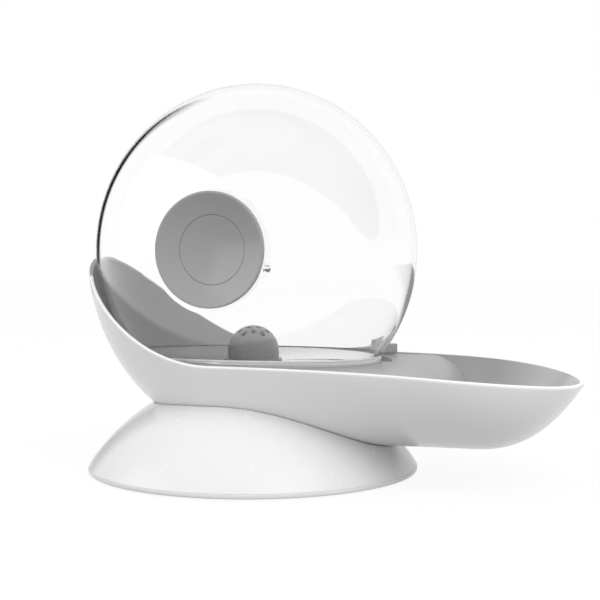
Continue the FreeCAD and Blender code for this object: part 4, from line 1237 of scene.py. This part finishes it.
    def is_in_bay_painted_light(self, place: Vector) -> bool:
        """Whether a place is on the bay's floor or wall, outside the tank's recess, where a paler
        grey is painted as light against the recess's shade.
        """
        away = math.hypot(place.x / self.recess[0], place.y / self.recess[1])
        return (away > 1 and place.z < LEVELS.deck_top - 0.1
                and place.z > LEVELS.recess_floor - 0.1
                and math.hypot(place.x, place.y) < self.bay_reach + 0.1)

    def build(self, finishes: Finishes) -> None:
        """Makes the deck and the soft ring in its recess."""
        mesh = formed_sheet(self.columns, sum(self.rows), self.place)
        mesh = worked(mesh, [self.bay_pan()], Joining.JOIN)
        bay = wedge(self.bay_reach, LEVELS.recess_floor, LEVELS.deck_top + 5, *LEVELS.bay, inner=50)
        mesh = worked(mesh, [bay], Joining.CUT)
        add_islands(mesh, *[self.leg(x, y) for x, y in mirrored(self.leg_x, self.leg_y)])
        # The bay's floor and walls get the paler grey, painted light that lifts the recess's shade.
        Piece("deck", Body.DECK, Slot.GREY_PLASTIC, ("tank_seat",)).finish(
            mesh, finishes.deck_grey, finishes.bay_painted_light, self.is_in_bay_painted_light)
        low, high = LEVELS.recess_floor, LEVELS.recess_floor + self.ring_height
        (inside, inside_half), (outside, outside_half) = self.ring
        ring = turned([(inside, low, 0.25), (outside, low, 0.25), (outside, high, 0.35),
                       (inside, high, 0.35)], steps=200)
        squeeze(ring, [(inside, inside_half / inside), (outside, outside_half / outside)])
        ring = worked(ring, [wedge(100, low - 1, high + 1, *LEVELS.bay, inner=40)], Joining.CUT)
        Piece("deck_ring", Body.DECK, Slot.GREY_RUBBER, ("seat_ring",)).finish(
            ring, finishes.grey_rubber)


# The tank and what rides with it


@dataclass
class Tank:
    """The clear tank with its filler neck, its grey base, and the seal between them."""

    neck_bore: float = 28.4
    neck_outside: float = 30.8
    gutter_reach: float = 33.2
    notch_reach: float = 31.4
    neck_mouth: float = 66.17
    neck_end: float = 53.77
    gutter_half: float = 5.8
    notch_half: float = 3.2
    first_lug: float = -21.0
    lugs: int = 3
    gutter_ease: float = 1.5
    steps: int = 360
    floor: tuple[tuple[float, float], ...] = (
        (0, 66.7), (17, 66.7), (18.4, 66.72), (19.6, 66.8), (20.6, 66.86))
    floor_half_depth: float = 51.97
    base_inside: float = 75.6
    base_under: float = 65.7
    well: tuple[tuple[float, ...], ...] = (
        (26, 65.7), (26, 61.0, 0.3), (24.1, 61.0, 0.3), (24.1, 64.7), (16, 64.7), (16, 65.9),
        (13.4, 65.9), (13.4, 64.7), (0, 64.7))
    stop_sector: tuple[float, float] = (1.8, 54.2)
    stop_pocket: tuple[float, float, float] = (27, 60, 64.69)

    def lug_angles(self) -> list[float]:
        """Directions of the gutters, from +X towards +Z seen from the front."""
        return [self.first_lug + 360.0 * index / self.lugs for index in range(self.lugs)]

    def swelling(self, angle: float, half: float) -> float:
        """How far a direction lies inside the nearest gutter or cut, as a share from 0 to 1."""
        nearest = min(abs((angle - lug + 180) % 360 - 180) for lug in self.lug_angles())
        return ease((half + self.gutter_ease / 2 - nearest) / self.gutter_ease)

    def is_neck(self, place: Vector) -> bool:
        """Whether a place is on the neck, behind the tank's wall."""
        away = math.hypot(place.x, place.z - LEVELS.tank_centre)
        return away < self.gutter_reach + 0.1 and -self.neck_mouth + 0.2 < place.y < 0

    def build_globe(self, finishes: Finishes) -> None:
        """Makes the clear shell with its neck."""
        reach, depth, wall = LEVELS.tank_reach, LEVELS.tank_half_depth, LEVELS.tank_wall
        start = math.degrees(math.acos(self.gutter_reach / reach))
        outer = arc_corners(reach, 0, -90, start, 84, depth)
        inner_angle = math.degrees(math.acos(self.neck_outside / (reach - wall)))
        inner = arc_corners(reach - wall, 0, inner_angle, -90, 76, depth - wall)
        mouth, end = self.neck_mouth, self.neck_end
        bore, outside = self.neck_bore, self.neck_outside
        neck = [(self.gutter_reach - 0.15, mouth), (outside + 0.3, mouth), (bore, mouth, 0.4)]
        neck += [(bore, mouth + (end - mouth) * step / 6) for step in range(1, 6)]
        neck += [(bore, end, 0.5), (outside, end, 0.5)]
        neck += [(outside, end + (inner[0].height - end) * step / 5) for step in range(1, 5)]
        mesh = turned(outer + neck + inner, closed=False, steps=self.steps)
        for vertex in mesh.verts:
            away = math.hypot(vertex.co.x, vertex.co.y)
            if away > self.gutter_reach - 0.6 or vertex.co.z < end - 0.1:
                continue
            at_root = abs(vertex.co.z - inner[0].height) < 0.02 and away > bore + 1
            # the axis is laid over to the front afterwards, which turns +Y up
            angle = math.degrees(math.atan2(vertex.co.y, vertex.co.x))
            if bore - 0.05 <= away <= bore + 0.55:
                new = away + (self.notch_reach - bore) * self.swelling(angle, self.notch_half)
            elif away >= outside - 0.55 and vertex.co.z < mouth - 1:
                new = away + (self.gutter_reach - outside) * self.swelling(angle, self.gutter_half)
            else:
                continue
            vertex.co.x *= new / away
            vertex.co.y *= new / away
            if at_root:
                vertex.co.z = (depth - wall) * math.sqrt(1 - (new / (reach - wall)) ** 2)
        onto_cap_axis(mesh)
        bmesh.ops.bisect_plane(mesh, geom=mesh.verts[:] + mesh.edges[:] + mesh.faces[:],
                               dist=1e-5, plane_co=(0, 0, LEVELS.tank_edge), plane_no=(0, 0, -1),
                               clear_outer=True, clear_inner=False)
        rims = [edge for edge in mesh.edges if edge.is_boundary]
        bmesh.ops.bridge_loops(mesh, edges=rims)
        bmesh.ops.recalc_face_normals(mesh, faces=mesh.faces)
        Piece("tank_shell", Body.TANK, Slot.CLEAR_PLASTIC, ("tank_globe",), sharp=40.0).finish(
            mesh, finishes.clear, finishes.clear_neck, self.is_neck)

    def build_base(self, finishes: Finishes) -> None:
        """Makes the grey base with its well, its ports and the lever's slots, and its seal."""
        top, bottom = LEVELS.skirt_top, LEVELS.base_bottom
        (outside, outside_half), inside = LEVELS.edge_outside, self.base_inside
        mesh = turned([
            *self.floor, (inside - 1.4, 70.22), (inside - 0.5, 70.27), (inside, 70.3, 0.2),
            (inside, top), (outside, top, 0.3), (outside, bottom, 0.5), (inside, bottom, 0.4),
            (inside, self.base_under), *self.well], closed=False, steps=256)
        squeeze(mesh, [(0, 1), (30, 1), (inside, self.floor_half_depth / inside),
                       (outside, outside_half / outside)])
        mesh = worked(mesh, ports(0.0, 75), Joining.CUT)
        slots = [wedge(110, 60, self.base_under, *LEVELS.bay, inner=40),
                 wedge(*self.stop_pocket, *self.stop_sector, inner=20)]
        mesh = worked(mesh, slots, Joining.CUT)
        Piece("tank_floor", Body.TANK, Slot.GREY_PLASTIC, ("tank_base",)).finish(
            mesh, finishes.tank_grey)
        edge, (inside, inside_half) = LEVELS.tank_edge, LEVELS.edge_inside
        seal = turned([(inside, top, 0.2), (outside, top, 0.35), (outside, edge, 0.35),
                       (inside, edge, 0.2)], steps=256)
        squeeze(seal, [(inside, inside_half / inside), (outside, outside_half / outside)])
        Piece("tank_seal", Body.TANK, Slot.GREY_RUBBER, ("base_seal",)).finish(
            seal, finishes.pale_rubber)

    def build(self, finishes: Finishes) -> None:
        """Makes the clear shell, the base and the seal between them."""
        self.build_globe(finishes)
        self.build_base(finishes)


@dataclass
class Filter:
    """The grey perforated dome on the tank's floor, with the sponge in it."""

    reach: float = 15.5
    wall: float = 1.5
    bottom: float = 66.7
    height: float = 20.8
    flange: float = 17.3
    flange_height: float = 1.0
    pad_reach: float = 13.7
    pad_low: float = 0.02
    pad_high: float = 5.2
    hole_reach: float = 1.5
    hole_pitch: float = 5.35
    hole_turn: float = 21.0
    hole_span: tuple[float, float] = (8.0, 24.0)

    def hole_places(self) -> list[tuple[float, float]]:
        """Distances and directions of the holes: one in the middle, and two rings round it."""
        places = [(0.0, 0.0)]
        for index in range(6):
            row = self.hole_turn + 60 * index
            places += [(self.hole_pitch, row), (2 * self.hole_pitch, row),
                       (math.sqrt(3) * self.hole_pitch, row + 30)]
        return places

    def build(self, finishes: Finishes) -> None:
        """Makes the dome and the sponge."""
        shoulder = self.bottom + self.height - self.reach
        inner = self.reach - self.wall
        outline = arc_corners(self.reach, shoulder, 90, 0, 22)
        bottom, flange_top = self.bottom, self.bottom + self.flange_height
        outline += [(self.reach, flange_top), (self.flange, flange_top, 0.3),
                    (self.flange, bottom, 0.2), (inner, bottom)]
        outline += arc_corners(inner, shoulder, 0, 90, 18)
        mesh = turned(outline, closed=False, steps=128)
        low, high = (bottom + level for level in self.hole_span)
        holes = [stand(self.hole_reach, low, high, ring * math.cos(math.radians(turn)),
                       ring * math.sin(math.radians(turn)), steps=24)
                 for ring, turn in self.hole_places()]
        mesh = worked(mesh, holes, Joining.CUT)
        Piece("filter_cover", Body.TANK, Slot.GREY_PLASTIC, ("filter_dome",)).finish(
            mesh, finishes.dome_grey)
        sponge = stand(self.pad_reach, bottom + self.pad_low, bottom + self.pad_high, steps=64,
                       rounding=0.5)
        Piece("filter_pad", Body.TANK, Slot.SPONGE, ("filter_sponge",)).finish(
            sponge, finishes.sponge)


@dataclass
class Shutoff:
    """The grey shut-off lever with its finger tab, its seal, and the spout that carries it."""

    angle: float = 43.0
    rotor: float = 17.0
    rotor_low: float = 62.7
    rotor_high: float = 64.3
    half_width: float = 3.5
    thickness: float = 1.6
    arm_low: float = 63.8
    crank: float = 27.5
    riser: float = 81.0
    tab_low: float = 67.7
    tab_start: float = 87.0
    tab_end: float = 98.0
    tab_top: float = 73.5
    hub: float = 13.0
    rounded_from: float = 20.0
    edge_round: float = 0.45
    seal: tuple[tuple[float, ...], ...] = (
        (13.45, 64.4, 0.3), (15.95, 64.4, 0.3), (15.95, 65.9), (13.45, 65.9))
    spout: tuple[tuple[float, ...], ...] = (
        (12.6, 48.0, 0.3), (14.4, 48.0, 0.3), (14.4, 60.9, 0.3), (24, 60.9, 0.3),
        (24, 64.7, 0.3), (17.08, 64.7, 0.2), (17.08, 62.5), (12.6, 62.5, 0.2))

    def build_lever(self, finishes: Finishes) -> None:
        """Makes the disc, its ports, the cranked arm and the tab."""
        mesh = bmesh.new()
        thick, low, high = self.thickness, self.rotor_low, self.rotor_high
        crank, arm, riser, tab = self.crank, self.arm_low, self.riser, self.tab_low
        outline = [(self.hub, low), (crank + thick, low), (crank + thick, arm),
                   (riser + thick, arm), (riser + thick, tab), (self.tab_end, tab),
                   (self.tab_end, self.tab_top), (self.tab_start, self.tab_top),
                   (self.tab_start, tab + thick), (riser, tab + thick), (riser, arm + thick),
                   (crank, arm + thick), (crank, high), (self.hub, high)]
        face = mesh.faces.new([mesh.verts.new((x, -self.half_width, z)) for x, z in outline])
        raised = bmesh.ops.extrude_face_region(mesh, geom=[face])
        bmesh.ops.translate(mesh, vec=(0, 2 * self.half_width, 0),
                            verts=[item for item in raised["geom"]
                                   if isinstance(item, bmesh.types.BMVert)])
        bmesh.ops.recalc_face_normals(mesh, faces=mesh.faces)
        edges = [edge for edge in mesh.edges
                 if max(vertex.co.x for vertex in edge.verts) > self.rounded_from]
        bmesh.ops.bevel(mesh, geom=edges, offset=self.edge_round, offset_type="OFFSET",
                        segments=3, profile=0.5, affect="EDGES", material=-1)
        disc = turned([(0, high), (self.rotor, high, 0.2), (self.rotor, low, 0.2), (0, low)],
                      closed=False, steps=96)
        mesh = worked(mesh, [disc], Joining.JOIN)
        mesh = worked(mesh, ports(-math.radians(self.angle), 67), Joining.CUT)
        bmesh.ops.rotate(mesh, verts=mesh.verts, cent=(0, 0, 0),
                         matrix=Matrix.Rotation(math.radians(self.angle), 3, "Z"))
        Piece("lever", Body.LEVER, Slot.GREY_PLASTIC, ("shutoff_lever",)).finish(
            mesh, finishes.grey)

    def build(self, finishes: Finishes) -> None:
        """Makes the lever, the seal and the spout."""
        self.build_lever(finishes)
        seal = turned(self.seal, steps=96)
        Piece("lever_seal", Body.TANK, Slot.DARK_RUBBER, ("shutoff_seal",)).finish(
            seal, finishes.dark_rubber)
        sector = wedge(27, 62.5, 66, *Tank.stop_sector, inner=15)
        spout = worked(turned(self.spout, steps=128), [sector], Joining.CUT)
        Piece("spout", Body.TANK, Slot.WHITE_PLASTIC, ("outlet_spout",)).finish(
            spout, finishes.white)


@dataclass
class FillCap:
    """The dished grey cap, its inlay, its plug with three legs and lugs, and its gasket."""

    reach: float = 32.5
    rim_inside: float = 31.2
    back: float = 66.87
    front: float = 69.17
    dish_depth: float = 8.0
    shell: float = 2.0
    root: float = 2.2
    inlay_reach: float = 19.4
    inlay_gap: float = 0.2
    inlay_thickness: float = 0.8
    plug_reach: float = 28.0
    plug_inside: float = 25.8
    plug_length: float = 5.0
    lug_reach: float = 31.2
    lug_back: float = 50.47
    lug_front: float = 53.47
    lug_half: float = 2.2
    leg_inset: float = 0.05
    leg_round: float = 0.3
    sharp_turn: float = 0.6
    gasket: tuple[tuple[float, ...], ...] = (
        (28.3, 66.27, 0.15), (32.2, 66.27, 0.15), (32.2, 66.87, 0.15), (28.3, 66.87, 0.15))

    def dish(self, reach: float, behind: float = 0.0) -> float:
        """How far in front of the tank's axis the dish lies at a distance from the cap's axis."""
        curve = (self.rim_inside**2 + self.dish_depth**2) / (2 * self.dish_depth)
        return (self.front - self.dish_depth + curve
                - math.sqrt((curve + behind) ** 2 - reach**2))

    def dish_line(self, start: float, end: float, behind: float, count: int) -> list[Corner]:
        """Corners along the dish's curve."""
        reaches = [start + (end - start) * index / (count - 1) for index in range(count)]
        return [Corner(reach, self.dish(reach, behind)) for reach in reaches]

    def leg(self, angle: float) -> Mesh:
        """A leg of the plug with the lug at its end."""
        first, last = angle - self.lug_half, angle + self.lug_half
        ring_back = self.back - self.root - self.plug_length
        inner = self.plug_inside + self.leg_inset
        upright = wedge(self.plug_reach - self.leg_inset, self.lug_front - 1, ring_back + 1,
                        first, last, inner=inner)
        lug = wedge(self.lug_reach, self.lug_back, self.lug_front, first, last, inner=inner)
        leg = worked(upright, [lug], Joining.JOIN)
        sharp = [edge for edge in leg.edges if edge.calc_face_angle(0.0) > self.sharp_turn]
        bmesh.ops.bevel(leg, geom=sharp, offset=self.leg_round, offset_type="OFFSET",
                        segments=2, profile=0.5, affect="EDGES", material=-1)
        return leg

    def build(self, finishes: Finishes) -> None:
        """Makes the cap's four pieces."""
        pocket = self.inlay_reach + self.inlay_gap
        outline = self.dish_line(0.0, pocket - 0.01, self.inlay_thickness, 9)
        outline += [(pocket, self.dish(pocket), 0.1)]
        outline += self.dish_line(pocket + 0.5, self.rim_inside - 0.25, 0.0, 10)
        ring_front = self.back - self.root
        ring_back = ring_front - self.plug_length
        outline += [(self.rim_inside, self.front, 0.3), (self.reach, self.front, 0.5),
                    (self.reach, self.back, 0.3), (self.plug_reach, self.back),
                    (self.plug_reach, ring_front), (self.plug_inside, ring_front)]
        outline += self.dish_line(self.plug_inside - 0.01, 0.0, self.shell, 10)
        cover = onto_cap_axis(turned(outline, closed=False, steps=256))
        Piece("cap_cover", Body.FILL_CAP, Slot.GREY_PLASTIC, ("cap_dish",), sharp=30.0).finish(
            cover, finishes.grey)
        edge = self.inlay_reach
        disc = self.dish_line(0.0, edge - 0.3, 0.0, 10) + [(edge, self.dish(edge), 0.12)]
        disc += self.dish_line(edge, 0.0, self.inlay_thickness - 0.01, 10)
        inlay = onto_cap_axis(turned(disc, closed=False, steps=200))
        Piece("cap_disc", Body.FILL_CAP, Slot.GREY_PLASTIC, ("cap_inlay",)).finish(
            inlay, finishes.grey)
        tube = turned([(self.plug_inside, ring_back, 0.3), (self.plug_reach, ring_back, 0.3),
                       (self.plug_reach, ring_front), (self.plug_inside, ring_front)], steps=180)
        plug = worked(tube, [self.leg(angle) for angle in Tank().lug_angles()], Joining.JOIN)
        Piece("cap_tube", Body.FILL_CAP, Slot.GREY_PLASTIC, ("cap_plug",)).finish(
            onto_cap_axis(plug), finishes.grey)
        gasket = onto_cap_axis(turned(self.gasket, steps=180))
        Piece("cap_ring", Body.CAP_SEAL, Slot.GREY_RUBBER, ("cap_gasket",)).finish(
            gasket, finishes.grey_rubber)


# The studio


@dataclass(frozen=True)
class Softbox:
    """A soft rectangular lamp: where it stands, what it faces, its size and its power."""

    name: str
    place: tuple[float, float, float]
    faces: tuple[float, float, float]
    size: tuple[float, float]
    power: float

    def build(self) -> None:
        """Makes the lamp, which neither a reflection nor clear plastic shows."""
        data = bpy.data.lights.new(self.name, "AREA")
        data.shape = "RECTANGLE"
        data.size, data.size_y = self.size
        data.energy = self.power
        lamp = bpy.data.objects.new(self.name, data)
        lamp.visible_glossy = lamp.visible_transmission = False
        aim(lamp, self.place, self.faces, "-Z")
        bpy.context.scene.collection.objects.link(lamp)


@dataclass(frozen=True)
class Card:
    """A studio card that shows only in reflections and through the edge of clear plastic."""

    name: str
    place: tuple[float, float, float]
    faces: tuple[float, float, float]
    size: tuple[float, float]
    tone: float
    softness: tuple[float, float] = (0.5, 0.5)
    walls_passed: float = 2.5

    def build(self) -> None:
        """Makes the card, whose tone fades to that of the white studio towards its borders."""
        mesh = bmesh.new()
        bmesh.ops.create_grid(mesh, x_segments=1, y_segments=1, size=0.5)
        bmesh.ops.scale(mesh, verts=mesh.verts, vec=(self.size[0], self.size[1], 1))
        board = Board(self.name + "_paper")
        parts = board.node("SeparateXYZ", Vector=board.place()).outputs
        share = 1.0
        for axis, extent, soft in zip("XY", self.size, self.softness):
            away = board.result("Math", parts[axis], operation="ABSOLUTE")
            fade = board.eased(away, extent / 2 * (1 - soft), extent / 2, 1.0, 0.0)
            share = board.result("Math", fade, share, operation="MULTIPLY")
        glow = board.node("Emission", Color=(1, 1, 1, 1),
                          Strength=board.between(share, 1.0, self.tone))
        clear = board.node("BsdfTransparent")
        # a look through the whole tank passes four faces of its walls, and one along a wall two
        depth = board.node("LightPath").outputs["Transmission Depth"]
        is_through = board.result("Math", depth, self.walls_passed, operation="GREATER_THAN")
        paper = board.end(board.result("MixShader", is_through, glow.outputs["Emission"],
                                       clear.outputs["BSDF"]))
        card = as_object(mesh, self.name)
        card.data.materials.append(paper)
        aim(card, self.place, self.faces, "Z")
        card.visible_camera = card.visible_diffuse = card.visible_shadow = False


@dataclass
class Studio:
    """A plain white studio: floor, soft lamps, world and camera."""

    camera_place: tuple[float, float, float] = (0.2533, -0.6526, 0.1256)
    camera_turn: tuple[float, float, float] = (math.pi / 2 - 0.0328089, 0.0, 0.3298029)
    lens: float = 69.02
    ambient: float = 1.0
    floor_reach: float = 6.0
    floor_paper: float = 0.42
    floor_faint: float = 0.08
    floor_glow: float = 0.91
    lamps: tuple[Softbox, ...] = (
        Softbox("left_lamp", (-1.1, -0.77, 1.44), (0.03, 0, 0.1), (1.1, 1.1), 1.5),
        Softbox("right_lamp", (1.03, -0.864, 1.44), (0.03, 0, 0.1), (1.1, 1.1), 14.0),
    )
    cards: tuple[Card, ...] = (
        Card("black_card", (-1.166, 0.944, 0.7), (0, 0, 0.7), (0.5, 2.4), 0.01, (0.3, 0.6)),
        Card("right_card", (1.9, 0.0, 1.15), (0, 0, 1.15), (3.2, 2.3), 0.75, (0.8, 0.8)),
        Card("ceiling_card", (0.0, 0.0, 2.2), (0, 0, 0), (2.6, 2.6), 0.85, (0.9, 0.9)),
        Card("low_card", (0.5, 1.3, 0.002), (0.5, 1.3, 1), (1.6, 2.2), 0.3, (0.3, 0.3)),
        Card("glow_card", (-1.31, -0.92, 0.75), (0, 0, 0.75), (2.16, 1.5), 2.3, (0.12, 0.12)),
    )

    def build_floor(self) -> None:
        """Makes the pale floor, which looks white and keeps a soft shadow."""
        mesh = bmesh.new()
        bmesh.ops.create_grid(mesh, x_segments=1, y_segments=1, size=self.floor_reach)
        board = Board("floor_paper")
        paper, faint = (board.node("BsdfDiffuse", Color=(*grey(level), 1)).outputs["BSDF"]
                        for level in (self.floor_paper, self.floor_faint))
        glow = board.node("Emission", Color=(*grey(self.floor_glow), 1), Strength=1.0)
        bright = board.result("AddShader", faint, glow.outputs["Emission"])
        floor = as_object(mesh, "floor")
        floor.data.materials.append(
            board.end(board.result("MixShader", board.seen(), paper, bright)))

    def build_world(self) -> None:
        """Makes the world: white where it is seen, and a plain soft light elsewhere."""
        board = Board("studio", is_world=True)
        soft, white = (board.node("Background", Color=(1, 1, 1, 1), Strength=strength)
                       for strength in (self.ambient, 1.0))
        bpy.context.scene.world = board.end(board.result(
            "MixShader", board.seen(), soft.outputs["Background"], white.outputs["Background"]))

    def build_camera(self) -> None:
        """Makes the camera at the photographed angle."""
        data = bpy.data.cameras.new("camera")
        data.lens, data.sensor_width, data.sensor_fit = self.lens, 36.0, "HORIZONTAL"
        data.clip_start, data.clip_end = 0.01, 50.0
        camera = bpy.data.objects.new("camera", data)
        camera.location, camera.rotation_euler = self.camera_place, self.camera_turn
        bpy.context.scene.collection.objects.link(camera)
        bpy.context.scene.camera = camera

    def build(self) -> None:
        """Makes the whole studio."""
        self.build_floor()
        self.build_world()
        for item in (*self.lamps, *self.cards):
            item.build()
        self.build_camera()
        bpy.context.scene.view_settings.view_transform = "Standard"


def dress(node: bpy.types.Object, material: Material) -> None:
    """Gives a frame node that stays in view its finish."""
    node.data.materials.clear()
    node.data.materials.append(material)


def main() -> None:
    """Builds the studio and every piece of the fountain in order."""
    logging.basicConfig(level=logging.INFO, format="%(name)s: %(message)s")
    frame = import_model()
    Studio().build()
    finishes = Finishes()
    for part in (Hull(), Foot(), Deck(), Tank(), Filter(), Shutoff(), FillCap()):
        part.build(finishes)
        LOG.info("built %s", type(part).__name__)
    dress(frame["nodes"]["foot_screws"], finishes.steel)


if __name__ == "__main__":
    main()
